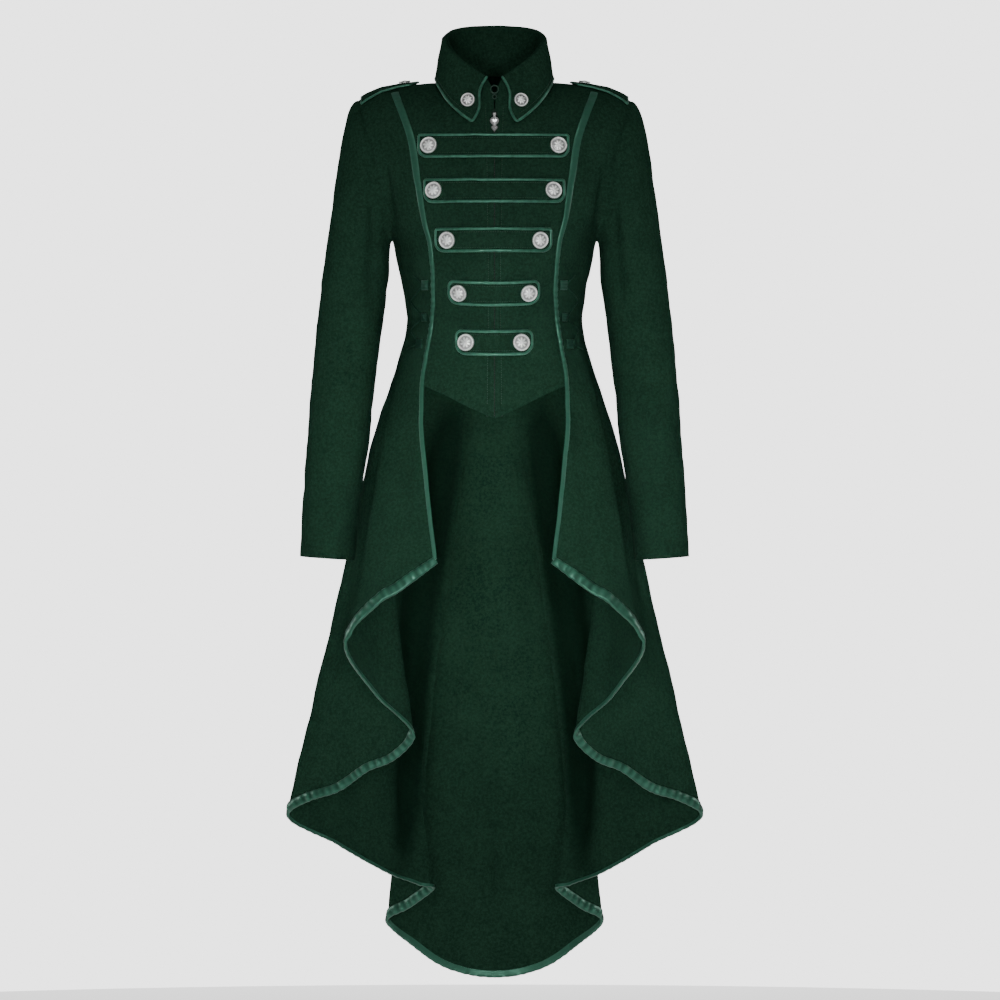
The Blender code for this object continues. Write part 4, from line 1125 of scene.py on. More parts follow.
WOOL_DARK = colour(0.0034, 0.0122, 0.0073)
WOOL_LIGHT = colour(0.0136, 0.0376, 0.0226)
SATIN_DARK = colour(0.0080, 0.0330, 0.0205)
SATIN_LIGHT = colour(0.0330, 0.1080, 0.0710)
TWILL = 1.15 * MM
SATIN_THREAD = 0.42 * MM
BRAID_STRAND = 1.5 * MM
TAPE_THREAD = 0.8 * MM


def wool(name, shade=1.0, hollow=0.0):
    """Twill of mixed dark and lighter green wool: diagonal ribs, fuzzy grain of single hairs, and a
    slow cloudiness. With a hollow share, painted shade darkens the colour towards half the dark wool
    by the piece's relief, in the hollows of deep folds."""
    sheen = {"Sheen Weight": 0.012, "Sheen Roughness": 0.5, "Sheen Tint": colour(0.25, 0.6, 0.42)}
    finish = Finish(name, {"Specular IOR Level": 0.0, **sheen})
    across, down = finish.cloth()
    ribs = waves(across + down * 0.8, TWILL) * 0.5 + 0.5
    grain = finish.noise(1.1 * MM, rough=0.7)
    mottle = finish.noise(3.6 * MM, 3.0, 0.6)
    cloud = finish.noise(42 * MM)
    mixed = grain.between(0.30, 0.72) * 0.42 + mottle.between(0.32, 0.68) * 0.44
    mixed = mixed + cloud.between(0.3, 0.7) * 0.12 + ribs * 0.08
    base = finish.mix(mixed, shaded(WOOL_DARK, shade), shaded(WOOL_LIGHT, shade))
    # Painted shade in the hollows of deep folds, by the piece's relief.
    if hollow:
        base = finish.mix(finish.relief() * hollow, base, shaded(WOOL_DARK, 0.5))
    height = ribs * (0.045 * MM) + grain * (0.16 * MM) + mottle * (0.12 * MM)
    return finish.done(base, 0.80 + 0.12 * grain, height, 0.8)


def satin(name, pitch, folds, shade=1.0, painted_gather_light=0.0, gloss=0.65):
    """Satin: fine threads along it, soft gloss, and creases across where it is gathered, a pitch apart
    and so many millimetres high. Its colour also follows the gather noise as painted sheen on the
    creases. The painted gather light is the share of its colour taken from the piece's relief: painted
    highlight on the crests of its gathers and painted shade in their troughs."""
    finish = Finish(name, {"Specular IOR Level": gloss, "Specular Tint": colour(0.40, 0.97, 0.70)})
    across, down = finish.cloth()
    drawn = finish.add("ShaderNodeCombineXYZ", None, {0: across * 0.16, 1: down, 2: 0.0})
    gathered = finish.noise(pitch, rough=0.55, where=drawn.outputs[0])
    cloud = finish.noise(9 * MM)
    # Colour share: painted sheen from the gather noise, random tone from the cloud.
    share = gathered.between(0.3, 0.72) * 0.40 + cloud.between(0.25, 0.75) * 0.35 + 0.08
    # Painted highlight and painted shade of the gathers, from the piece's relief.
    if painted_gather_light:
        share = share * (1 - painted_gather_light) + finish.relief() * painted_gather_light
    base = finish.mix(share, shaded(SATIN_DARK, shade), shaded(SATIN_LIGHT, shade))
    height = gathered * (folds * MM) + waves(across, SATIN_THREAD) * (0.003 * MM)
    return finish.done(base, 0.28 + 0.12 * cloud, height)


def silver(name, roughness=0.26, hollow=0.26):
    """Aged silver: bright on the high places, darker in the hollows, faint scratches."""
    finish = Finish(name, {"Metallic": 1.0})
    cloud = finish.noise(2.2 * MM, 3.0, 0.6)
    scratch = finish.noise(0.35 * MM, rough=0.7)
    bright = (finish.relief() + cloud * 0.30 - 0.15).between(0.10, 0.75)
    base = finish.mix(bright, colour(hollow, hollow * 1.02, hollow), colour(0.88, 0.89, 0.88))
    height = scratch * (0.03 * MM) + cloud * (0.05 * MM)
    return finish.done(base, roughness + 0.24 * (1 - bright) + 0.12 * scratch, height)


def dark_metal(name):
    """Dark painted metal with lighter, worn specks."""
    finish = Finish(name, {"Metallic": 0.8})
    worn = finish.noise(1.4 * MM, 4.0, 0.65)
    dark, light = colour(0.003, 0.009, 0.006), colour(0.030, 0.050, 0.040)
    base = finish.mix(worn.between(0.58, 0.75), dark, light)
    return finish.done(base, 0.34 + 0.22 * worn, worn * (0.06 * MM))


def lacquer(name):
    """Green enamelled wire, worn darker in places."""
    finish = Finish(name, {"Specular IOR Level": 0.3})
    worn = finish.noise(1.6 * MM, 3.0, 0.6)
    dark, light = colour(0.005, 0.026, 0.015), colour(0.012, 0.052, 0.032)
    base = finish.mix(worn.between(0.3, 0.75), dark, light)
    return finish.done(base, 0.32 + 0.2 * worn, worn * (0.05 * MM), 0.5)


def lacing_cloth(name):
    """Dark green braided cord: fine strands that slant both ways."""
    finish = Finish(name, {"Specular IOR Level": 0.05})
    across, down = finish.cloth()
    strands = waves(across * 1.4 + down, BRAID_STRAND) * waves(down - across * 1.4, BRAID_STRAND)
    mottle = finish.noise(2.4 * MM, rough=0.6)
    share = mottle.between(0.25, 0.75) * 0.6 + strands * 0.2 + 0.2
    base = finish.mix(share, colour(0.002, 0.011, 0.006), colour(0.009, 0.036, 0.021))
    height = strands * (0.09 * MM) + mottle * (0.1 * MM)
    return finish.done(base, 0.5 + 0.2 * mottle, height, 0.8)


def thread(name):
    """Sewing thread, slightly lighter than the cloth."""
    finish = Finish(name, {"Specular IOR Level": 0.3})
    fibre = finish.noise(0.5 * MM, rough=0.6)
    base = finish.mix(fibre, colour(0.004, 0.018, 0.010), colour(0.010, 0.040, 0.023))
    return finish.done(base, 0.55 + 0.2 * fibre, fibre * (0.05 * MM))


def tape(name):
    """Woven zip tape: a fine plain weave."""
    finish = Finish(name, {"Specular IOR Level": 0.3})
    across, down = finish.cloth()
    weave = waves(across, TAPE_THREAD) * waves(down, TAPE_THREAD)
    dust = finish.noise(3 * MM, rough=0.6)
    base = finish.mix(dust, colour(0.002, 0.008, 0.005), colour(0.005, 0.017, 0.011))
    return finish.done(base, 0.7 + 0.15 * dust, weave * (0.05 * MM), 0.8)


def pale_floor(name):
    """Nearly white studio floor with the faintest grain, which glows a little."""
    glow = {"Emission Strength": 0.6, "Emission Color": colour(1, 1, 1)}
    finish = Finish(name, {"Specular IOR Level": 0.1, **glow})
    grain = finish.noise(0.4)
    base = finish.mix(grain, colour(0.90, 0.90, 0.90), colour(0.93, 0.93, 0.93))
    return finish.done(base, 0.85 + 0.1 * grain)


OUTSIDE = wool("green_wool")
# Inside faces: a slightly darker copy of the wool, painted shade, with more painted shade in the
# tail's deep folds.
INSIDE = wool("green_wool_inside", shade=0.92, hollow=0.75)
CLOTH_FINISHES = (OUTSIDE, INSIDE)
# Band satin: most of its light and dark is painted highlight and painted shade on its gathers.
GATHERED = satin("gathered_satin", 3.2 * MM, 0.17, shade=0.78, painted_gather_light=0.85, gloss=0.45)
SMOOTH_SATIN = satin("smooth_satin", 6 * MM, 0.10)
SILVER = silver("button_silver")
OLD_SILVER = silver("aged_silver", 0.30, 0.13)
PULL_SILVER = silver("bright_silver", 0.16)
DARK_METAL = dark_metal("dark_metal")
LACING = lacing_cloth("lacing_cord")
LOOP_SATIN = satin("loop_satin", 4 * MM, 0.10, shade=0.40)
THREAD = thread("green_thread")
TAPE = tape("zip_tape")
RING_FINISH = lacquer("green_lacquer")

# Rows from the top edge to the hip and on to the hem, and columns of each panel: places
# across the cloth, about a cell apart along the hem
UPPER = np.linspace(0, 1, 44)
MIDDLE = np.linspace(1, 2, 41)[1:]
LOWER = np.linspace(2, 3, 109)[1:]
LEVELS = np.concatenate([UPPER, MIDDLE, LOWER])
FRONT_LEVELS = np.concatenate([UPPER, MIDDLE])
HEM_CELL = 6 * MM
BY_SEAM = np.array([0.016, 0.035, 0.06])
PAST_SEAM = 1 + 1e-6

# Stitching beside the zip: its share of the way to the seam, and the panel's rough width
ZIP_STITCH = 0.092
FRONT_WIDTH = 85 * MM


def neck_across(part):
    """Place across the cloth where the front or back neckline reaches the neck's side."""
    share = NECK_SIDE / smooth(LINES, part, straight(TOP, part, NECK_SIDE))
    return float(3 - share if part == "back" else share - 1)


def hem_columns(low, high, spacing=HEM_CELL):
    """Places across the cloth about a spacing apart along the hem, closer by the seams."""
    fine = np.linspace(low, high, 801)
    walked = run_length(coat(fine[None], 3.0)[0])
    count = int(walked[-1] / spacing)
    even = np.interp(np.linspace(0, walked[-1], count), walked, fine)
    seams = BY_SEAM * (high - low)
    return joined(even, low + seams, high - seams)


def joined(*places):
    """Lists of places put together in order, each place once."""
    return np.unique(np.round(np.concatenate(places), 6))


NECK_FRONT = np.linspace(-1, neck_across("front"), 30)
NECK_BACK = np.linspace(neck_across("back"), 3, 22)
BESIDE_ZIP = -1 + ZIP_STITCH + np.array([-0.016, 0, 0.016])
PANELS = {
    "centre_front": joined(NECK_FRONT, BESIDE_ZIP, np.linspace(NECK_FRONT[-1], 0, 22)),
    "side_front": hem_columns(0, 1),
    "side_back": hem_columns(PAST_SEAM, 2),
    "centre_back": joined(hem_columns(2, NECK_BACK[0]), NECK_BACK),
}

# How far across the steps of each panel's outward directions may reach above the armpit
FACES_FRONT = (0, 1)
FACES_BACK = (PAST_SEAM, 3)
LIMITS = {
    "centre_front": (-1, 0),
    "side_front": FACES_FRONT,
    "side_back": FACES_BACK,
    "centre_back": FACES_BACK,
}


def seam_dip(grid):
    """How far the cloth is drawn in beside its seams: a bell curve of the distance."""
    left = np.linalg.norm(grid - grid[:, :1], axis=-1)
    right = np.linalg.norm(grid - grid[:, -1:], axis=-1)
    near = np.minimum(left, right)
    return -SEAM_DIP * np.exp(-((near / SEAM_WIDE) ** 2))


def groove(distance, depth=0.35 * MM, width=0.9 * MM):
    """Groove under stitching or along a seam: a bell curve of the distance from it."""
    return -depth * np.exp(-((distance / width) ** 2))


def panel(name, side, word):
    """One body panel: the coat's surface over its columns and levels, with creases, the
    dips along its seams and, beside the zip, the groove under the stitching."""
    levels = FRONT_LEVELS if name == "centre_front" else LEVELS
    across, level = np.meshgrid(PANELS[name], levels)
    base = sided(coat(across, level), side)
    normal = sided(coat_normal(across, level, LIMITS[name]), side)
    drape = body_shape(base, normal)
    move = drape + seam_dip(base)
    if name == "centre_front":
        move += groove(np.abs(across + 1 - ZIP_STITCH) * FRONT_WIDTH)
    outer = base + normal * move[..., None]
    inner = base + normal * (drape - CLOTH)[..., None]
    if name == "centre_back":
        outer[:, -1, 0] = inner[:, -1, 0] = 0
    node = f"{name}_{word}"
    # Painted shade for the inside faces: the share of a tail fold's full depth.
    hollow = np.clip(tail_fold(base, normal) / PAINTED_SHADE_DEPTH, 0, 1)
    add_cloth(node, outer, inner, CLOTH_FINISHES, hollow=hollow)
    return outer, normal


BODY = {(name, side): panel(name, side, word) for name in PANELS for side, word in SIDES}


def armhole(turn):
    """Points and directions round the left armhole: down the front, then up the back."""
    level = (np.where(turn <= np.pi, turn, ROUND - turn) / np.pi)[None]
    in_front, past = np.ones_like(level), np.full_like(level, PAST_SEAM)
    at_back = (turn > np.pi)[:, None]
    point = np.where(at_back, coat(past, level)[0], coat(in_front, level)[0])
    normal = coat_normal(in_front, level, FACES_FRONT)[0]
    return point, np.where(at_back, coat_normal(past, level, FACES_BACK)[0], normal)


def sleeve_ring(height, turn):
    """Level section of the sleeve, an ellipse; turn is 0 outside, half a circle inside.
    Below the elbow it tilts, until the cuff is lower inside than outside."""
    outer = smooth(SLEEVE, "outer", height)
    inner = smooth(SLEEVE, "inner", height)
    out = (outer + inner) / 2 + (outer - inner) / 2 * np.cos(turn)
    deep = smooth(SLEEVE, "deep", height) - smooth(SLEEVE, "depth", height) * np.sin(turn)
    low = SLEEVE["height"][0]
    share = np.clip((height - TILT_START) / (low - TILT_START), 0, 1)
    return stacked(out, deep, height + CUFF_TILT * share * (np.cos(turn) - 1) / 2)


def sleeve_grid():
    """Left sleeve: cubic curves from the armhole to the level of the armpit, then the
    arm's ellipses down to the cuff. A curve leaves the armhole outwards, further on the
    outer side, and meets the arm along its slope, leaning out over the shoulder."""
    turn = full_turn(96)
    ring, ring_normal = armhole(turn)
    top, low = SLEEVE["height"][-1], SLEEVE["height"][0]
    arm_top = sleeve_ring(top, turn)
    away = unit(ring_normal * CAP_FOLLOW + CAP_AWAY)
    reach = CAP_REACH * (0.62 + 0.38 * np.cos(turn))[:, None]
    rise = (ring[:, 2] - top)[:, None] * CAP_RISE
    below = 20 * MM
    slope = (arm_top - sleeve_ring(top - below, turn)) / below
    first = ring + away * reach
    lean = np.interp(np.cos(turn), [-0.3, 0.3], [0.6, 1.5])
    second = arm_top + slope * stacked(lean, 1.0, 1.0) * rise
    t = (np.linspace(0, 1, 46) ** CAP_ROWS)[:, None, None]
    cap = ring * (1 - t) ** 3 + first * 3 * t * (1 - t) ** 2
    cap = cap + second * 3 * t**2 * (1 - t) + arm_top * t**3
    heights = np.linspace(top, low, 76)[1:, None]
    grid = np.concatenate([cap, sleeve_ring(heights, turn[None])])
    sideways = np.roll(grid, -1, axis=1) - np.roll(grid, 1, axis=1)
    normal = unit(np.cross(sideways, np.gradient(grid, axis=0)))
    normal[0] = ring_normal
    return grid, normal, turn


def sleeve(side, word):
    """Sleeve with its creases and its two long seams. Beside the armhole it is moved as
    the body is, and the more its own way the further down."""
    grid, normal, turn = SLEEVE_FORM
    base, facing = sided(grid, side), sided(normal, side)
    move = shaped(base, facing, SLEEVE_FRONT_CREASES, SLEEVE_BACK_CREASES)
    at_body = body_shape(base[0], facing[0]) - SEAM_DIP
    share = np.clip(run_length(base) / CAP_BLEND, 0, 1)
    move = move * share + at_body[None] * (1 - share)
    for seam_turn in SLEEVE_SEAMS:
        beside = np.abs(turn - seam_turn) * SLEEVE_RADIUS
        move += groove(beside[None], 0.25 * MM, 1.4 * MM) * share
    outer = base + facing * move[..., None]
    inner = outer - facing * CLOTH
    add_cloth(f"sleeve_{word}", outer, inner, CLOTH_FINISHES, wrap=True)


SLEEVE_FORM = sleeve_grid()
for side, word in SIDES:
    sleeve(side, word)


def collar_form():
    """Left half of the collar, from the middle of the back to the front edge: the stand
    from the neckline up, the roll as a half circle, and the fall down to its edge. The
    fall's front edge sways as a sine wave."""
    from_back = np.linspace(3, neck_across("back"), 26)
    to_front = np.linspace(neck_across("front"), -1, 34)[1:]
    seat = coat(np.concatenate([from_back, to_front])[None], 0.0)[0]
    turn = run_length(seat)
    turn = turn / turn[-1]
    ways = ("out", "deep", "height")
    top, edge = (
        stacked(*(smooth(COLLAR, f"{row}_{way}", turn) for way in ways)) for row in ("top", "fall")
    )
    rest = front_deep(edge[:, 0], edge[:, 2]) - FALL_OFF_FRONT
    in_front = edge[:, 1] < FALL_FRONT
    edge[:, 1] = np.where(in_front, np.minimum(edge[:, 1], rest), edge[:, 1])
    along = unit(np.gradient(top, axis=0))
    outward = unit(np.cross(along, np.array([0, 0, 1.0])))
    outward *= np.sign(np.sum(outward * (top - NECK_MIDDLE), axis=1, keepdims=True))
    outward[0] = [0, 1, 0]
    up = unit(np.cross(outward, along))
    up *= np.sign(up[:, 2:])
    centre = top - up * ROLL
    inside = centre - outward * ROLL
    outside = centre + outward * ROLL
    base = seat - np.array([0, 0, STAND_LAP])
    stand = []
    for t in np.linspace(0, 1, 14):
        row = base + (inside - base) * t
        row[:, 0] -= (inside - base)[:, 0] * (t - t**3) * turn**6
        stand.append(row)
    stand.append(stand[-1] + unit(inside - base) * COLLAR_LAP)
    fall = [centre + ROLL * (up * np.sin(a) - outward * np.cos(a)) for a in np.linspace(0, np.pi, 9)]
    fall.insert(0, fall[0] - up * COLLAR_LAP)
    sway = EDGE_SWAY * turn**10
    for t in np.linspace(0, 1, 22)[1:]:
        row = outside + (edge - outside) * t
        row[:, 0] += sway * np.sin(ROUND * t)
        fall.append(row)
    return np.array(stand), np.array(fall)


def whole(grid):
    """A left half grid from the back to the front becomes a whole one round the neck."""
    return np.concatenate([sided(grid, -1)[:, ::-1], grid[:, 1:]], axis=1)


def outward_normal(grid, row):
    """Directions of a grid round the neck, turned to point away from it on one row."""
    normal = unit(np.cross(np.gradient(grid, axis=1), np.gradient(grid, axis=0)))
    return normal * np.sign(np.sum(normal[row] * grid[row] * [1, 1, 0]))


STAND, FALL = (whole(grid) for grid in collar_form())
FALL_NORMAL = outward_normal(FALL, -1)
STAND_NORMAL = outward_normal(STAND, 1)
COLLAR_STITCH = 5 * MM
COLLAR_UNEVEN = 1.2
ROLL_FADE = 14 * MM


def collar_piece(name, grid, normal):
    """Collar wall on the given grid, moved by the slow unevenness, which fades out near the
    roll so that stand and fall meet; the fall has a groove under its stitching."""
    from_top = run_length(grid)
    from_bottom = from_top[-1] - from_top
    from_roll = from_top if name == "collar_fall" else from_bottom
    move = unevenness(grid) * COLLAR_UNEVEN * np.clip(from_roll / ROLL_FADE, 0, 1)
    if name == "collar_fall":
        move = move + groove(from_bottom - COLLAR_STITCH, 0.25 * MM, 1.2 * MM)
    outer = grid + normal * move[..., None]
    add_cloth(name, outer, outer - normal * COLLAR_CLOTH, CLOTH_FINISHES)
    return outer


collar_piece("collar_stand", STAND, STAND_NORMAL)
FALL_FACE = collar_piece("collar_fall", FALL, FALL_NORMAL)


# Piping of the collar: its first row, how far out and how low it lies, and its sizes
PIPED_ROWS = slice(6, None)
PIPING_OUT = 1.3 * MM
PIPING_LOW = 0.85 * MM
PIPING_STEP = 1.4 * MM
COLLAR_PIPING = (1.95 * MM, 1.6 * MM)


def edge_piping():
    """Piping down one front edge of the fall, along its lower edge and up the other: a
    round cord a little outside the edge, which swells and shrinks with random gathers."""

    def beyond(edge, before):
        """Points past an edge, further on from the row before it."""
        return edge + unit(edge - before) * PIPING_OUT

    face, normal = FALL_FACE[PIPED_ROWS], FALL_NORMAL[PIPED_ROWS]
    left, right = beyond(face[:, -1], face[:, -2]), beyond(face[:, 0], face[:, 1])
    low = beyond(face[-1], face[-2])
    path = np.concatenate([right, low[1:-1], left[::-1]])
    facing = np.concatenate([normal[:, 0], normal[-1, 1:-1], normal[::-1, -1]])
    walked = run_length(path)
    at = np.linspace(0, walked[-1], int(walked[-1] / PIPING_STEP))
    facing = unit(sampled(at, walked, facing))
    path = softened(sampled(at, walked, path) - facing * PIPING_LOW, 3)
    size = 1 + 0.07 * (gathers(at, 5 * MM, 11) - 0.5)
    wide, high = COLLAR_PIPING
    rings = cord_rings(path, facing, wide * size, high * size, -0.8 * MM)
    swept("piping_collar", rings, SMOOTH_SATIN, ["collar_piping"])


edge_piping()

# Tabs: least corner radii in millimetres, spacing of their outlines, stitching inside the piping and
# edge of the cloth in millimetres, their height above the front, dome, half width and half height of
# the piping
LEAST_ROUND = (0.8, 2.0)
OUTLINE_STEP = 1.5 * MM
TAB_STITCH = 2.4
TAB_INSET = PIPING / MM * 0.72
UNDER_TAB = LIFT * 0.6
TAB_DOME = 0.5 * MM
TAB_PIPING = (PIPING * 0.58, 1.9 * MM)


def tab_outline(right, left, top, bottom, sag, top_round, bottom_round, inset):
    """Upper and lower edges of a tab at like distances across: straight, with quarter
    circles at the corners, and sagging in the middle as a parabola."""
    right, left = right + inset, left - inset
    top, bottom = top - inset, bottom + inset
    top_round, bottom_round = np.maximum(np.array([top_round, bottom_round]) - inset, LEAST_ROUND)
    near = (1 - np.cos(np.linspace(0, np.pi / 2, 9))) * bottom_round
    middle = np.linspace(right + bottom_round, left - bottom_round, 48)[1:-1]
    out = np.concatenate([right + near, middle, (left - near)[::-1]])
    end = np.minimum(out - right, left - out)

    def corner(radius):
        """How far a quarter circle of a radius cuts in, by the distance from the end."""
        short = np.clip(radius - end, 0, radius)
        return radius - np.sqrt(radius**2 - short**2)

    share = (out - right) / (left - right)
    drop = sag * 4 * share * (1 - share)
    upper = top - corner(top_round) - drop
    lower = bottom + corner(bottom_round) - drop
    return out * MM, upper * MM, lower * MM


def loop_outline(row, inset):
    """Closed flat outline of a tab, evenly spaced, clockwise from its right end."""
    out, upper, lower = tab_outline(*row, inset=inset)
    flat = np.concatenate([np.stack([out, upper], 1), np.stack([out, lower], 1)[::-1]])
    flat = np.concatenate([flat, flat[:1]])
    walked = run_length(flat)
    at = np.linspace(0, walked[-1], int(walked[-1] / OUTLINE_STEP), endpoint=False)
    return sampled(at, walked, flat)


def on_front(out, height, side=1):
    """Points and directions on the front panels as they are creased, on one side."""
    points, normal = (sided(part, side) for part in front_point(out, height))
    return draped(points, normal), normal


def round_piping(name, node, path, normal, half_wide, half_high, lift):
    """Satin piping round a closed path."""
    rings = cord_rings(path, normal, half_wide, half_high, lift, closed=True)
    swept(name, rings, SMOOTH_SATIN, [node], closed=True)


def chest_tab(number, row):
    """Tab of cloth with round satin piping along its whole edge. It is slightly domed, by
    the root of the distance from its upper or lower edge."""
    out, upper, lower = tab_outline(*row, inset=TAB_INSET)
    down = ease(np.linspace(0, 1, 16))[:, None]
    heights = upper + (lower - upper) * down
    points, normal = on_front(np.broadcast_to(out, heights.shape), heights)
    edge = np.minimum(np.minimum(down, 1 - down) * 2, 1)
    dome = TAB_DOME * np.sqrt(edge) + unevenness(points) * 0.5
    high = points + normal * (LIFT + TAB_CLOTH + dome)[..., None]
    low = points + normal * UNDER_TAB
    add_cloth(f"chest_tab_{number}", high, low, [OUTSIDE])
    flat = loop_outline(row, PIPING / MM / 2)
    points, normal = on_front(flat[:, 0], flat[:, 1])
    ripple = gathers(run_length(points), 6 * MM, 20 + number) - 0.5
    wide, high = TAB_PIPING
    wide, high = wide * (1 + 0.07 * ripple), high * (1 + 0.12 * ripple)
    name, node = f"piping_chest_tab_{number}", f"chest_piping_{number}"
    round_piping(name, node, points, normal, wide, high, UNDER_TAB)


for number, row in enumerate(TABS, 1):
    chest_tab(number, row)


# Button, in shares of its radius: heights of its turned face from the middle outwards;
# then the rope's place and width, the notches' height, the petals' length and its swing,
# and the height of the core
PROFILE = (
    (0.0, 0.10, 0.30, 0.55, 0.66, 0.72, 0.78, 0.86, 0.93, 0.985, 1.0),
    (0.30, 0.30, 0.27, 0.21, 0.17, 0.155, 0.24, 0.285, 0.26, 0.17, 0.09),
)
PETALS = 8
ROPE = 30
ROPE_AT = 0.87
ROPE_WIDE = 0.09
NOTCH = 0.035
PETAL = (0.33, 0.24)
CORE = 0.07


def button_face(radius):
    """Turned disc with a rope rim and a flower of eight petals. Height over the radius and
    the angle: the profile, plus the rim's slanting notches, plus the petals' humps."""
    share = np.concatenate([np.linspace(0.04, 0.62, 12), np.linspace(0.66, 1.0, 11)])
    turn = full_turn(96)
    r, a = np.meshgrid(share, turn, indexing="ij")
    rim = np.exp(-(((r - ROPE_AT) / ROPE_WIDE) ** 2))
    notches = NOTCH * rim * np.sin(ROPE * a + 9 * r)
    length, swing = PETAL
    inside = 1 / (1 + np.exp((r - length - swing * np.abs(np.cos(PETALS / 2 * a))) / 0.025))
    vein = np.abs(np.sin(PETALS / 2 * a))
    petals = inside * (0.10 - 0.07 * vein**6 - 0.05 * np.exp(-((r / 0.13) ** 2)))
    raised = notches + petals + CORE * np.exp(-((r / 0.09) ** 4))
    high = np.interp(r, *PROFILE) + raised
    front = np.stack([r * np.cos(a), r * np.sin(a), high], axis=-1)
    b, c = np.meshgrid([0.97, 0.6, 0.1], turn, indexing="ij")
    back = np.stack([b * np.cos(c), b * np.sin(c), np.where(b > 0.9, 0.02, 0.0)], axis=-1)
    ends = np.array([[0, 0, PROFILE[1][0] + CORE + 0.05], [0, 0, 0]])
    points, faces = capped(np.concatenate([front, back]) * radius, ends * radius)
    bright = np.clip(raised * 9 + 0.25 + 0.45 * rim, 0, 1)
    return points, faces, np.concatenate([bright.ravel(), np.full(b.size, 0.1), [1.0, 0.1]])


def add_button(node, radius, point, normal, spin, finish=SILVER):
    """Button with its flat back at a point, facing along a direction, turned by a spin."""
    points, faces, relief = button_face(radius)
    turn = Vector(normal).to_track_quat("Z", "Y").to_matrix() @ Matrix.Rotation(spin, 3, "Z")
    placed = points @ np.array(turn).T + np.asarray(point)
    mesh = make_mesh(f"silver_{node}", placed, faces, relief=relief)
    add_piece(mesh, [finish], [node])


for number, (right, left, height) in enumerate(TAB_BUTTONS, 1):
    for out, word in ((right, "right"), (left, "left")):
        point, normal = on_front(out * MM, height * MM)
        spin = 0.7 * number + (0.4 if word == "left" else 0)
        add_button(f"button_{number}_{word}", BUTTON, point + normal * ON_TAB, normal, spin)

# Front bands: where the gathers are strongest, over what height and how strong elsewhere
BAND_WAIST = -315 * MM
BAND_WAIST_TALL = 70 * MM
BAND_GATHER = 0.10
BAND_PLAIN = 0.7 * MM
BAND_ARCH = 0.9 * MM


def front_edge():
    """Front edge of the left side front from the shoulder to the hem, as points, the
    directions across the cloth from it, and outward directions."""
    level = np.concatenate([UPPER, MIDDLE, np.linspace(2, 3, 150)[1:]])
    across, level = np.meshgrid([0.0, 0.02], level)
    grid = coat(across, level)
    return grid[:, 0], unit(grid[:, 1] - grid[:, 0]), coat_normal(across, level, FACES_FRONT)[:, 0]


def flat_band(side, word):
    """Satin band beside the front edge: a low arch across its width, with gathers across
    it that are strongest at the waist, by a bell curve of the height."""
    edge, inward, normal = front_edge()
    walked = run_length(edge)
    start = np.interp(-BAND_TOP, -edge[:, 2], walked)
    at = np.linspace(start, walked[-1] - HEM_BAND * 0.3, 520)
    edge = sided(sampled(at, walked, edge), side)
    inward, normal = (sided(unit(sampled(at, walked, part)), side) for part in (inward, normal))
    waist = np.exp(-(((edge[:, 2] - BAND_WAIST) / BAND_WAIST_TALL) ** 2))
    ripple = gathers(at, 4.4 * MM, 40 + side)
    strength = BAND_GATHER + (1 - BAND_GATHER) * waist
    width = straight(BAND, "width", edge[:, 2]) * (1 + 0.22 * strength * (ripple - 0.5))
    share = np.linspace(0, 1, 11)
    arch = np.sqrt(np.clip(1 - (2 * share - 1) ** 2, 0, 1))
    high = BAND_PLAIN + BAND_ARCH * (1 + strength * (ripple - 0.4))[:, None] * arch
    reach = share[:, None] * width[:, None, None] + 0.2 * MM
    over = draped(edge, normal)[:, None] + inward[:, None] * reach
    under = over[:, ::-1] + normal[:, None] * (0.3 * MM)
    over = over + normal[:, None] * high[..., None]
    rings = np.concatenate([over, under[:, 1:-1]], axis=1)
    # Painted highlight and painted shade that follow the ripples, strongest at the waist.
    painted_gather_light = np.clip(0.55 + 0.7 * strength * (ripple - 0.5), 0, 1)[:, None] * np.ones(rings.shape[:2])
    satin_band(f"front_band_{word}", rings, painted_gather_light, over)


def satin_band(node, rings, painted_gather_light, grid):
    """Gathered satin along a row of sections."""
    # The painted gather light goes to the mesh as its relief.
    piece = swept(f"satin_{node}", rings, GATHERED, [node], relief=painted_gather_light)
    declare_sheet(grid)


for side, word in SIDES:
    flat_band(side, word)

# Hem band: spacing of its sections, share of its height by the place across, where and
# how widely the gathers are drawn together near the corners, and how near its under side
# lies to the cloth
HEM_SPACING = 2.1 * MM
HEM_TALL = ((0, 0.1, 0.28, 0.7, 0.8, 1.1), (0.58, 0.76, 0.84, 0.55, 0.58, 0.74))
HEM_CORNERS = ((0.08, 0.10), (0.85, 0.08))
HEM_UNDER = 0.15 * MM


def hem_point(across, share):
    """Point and outward direction of the coat at a share of the last row's height."""
    across = np.clip(across, 0, 3)[None]
    level = np.clip(3 - LAST_SHARE * share, 0, 3)[None]
    return coat(across, level)[0], coat_normal(across, level)[0]


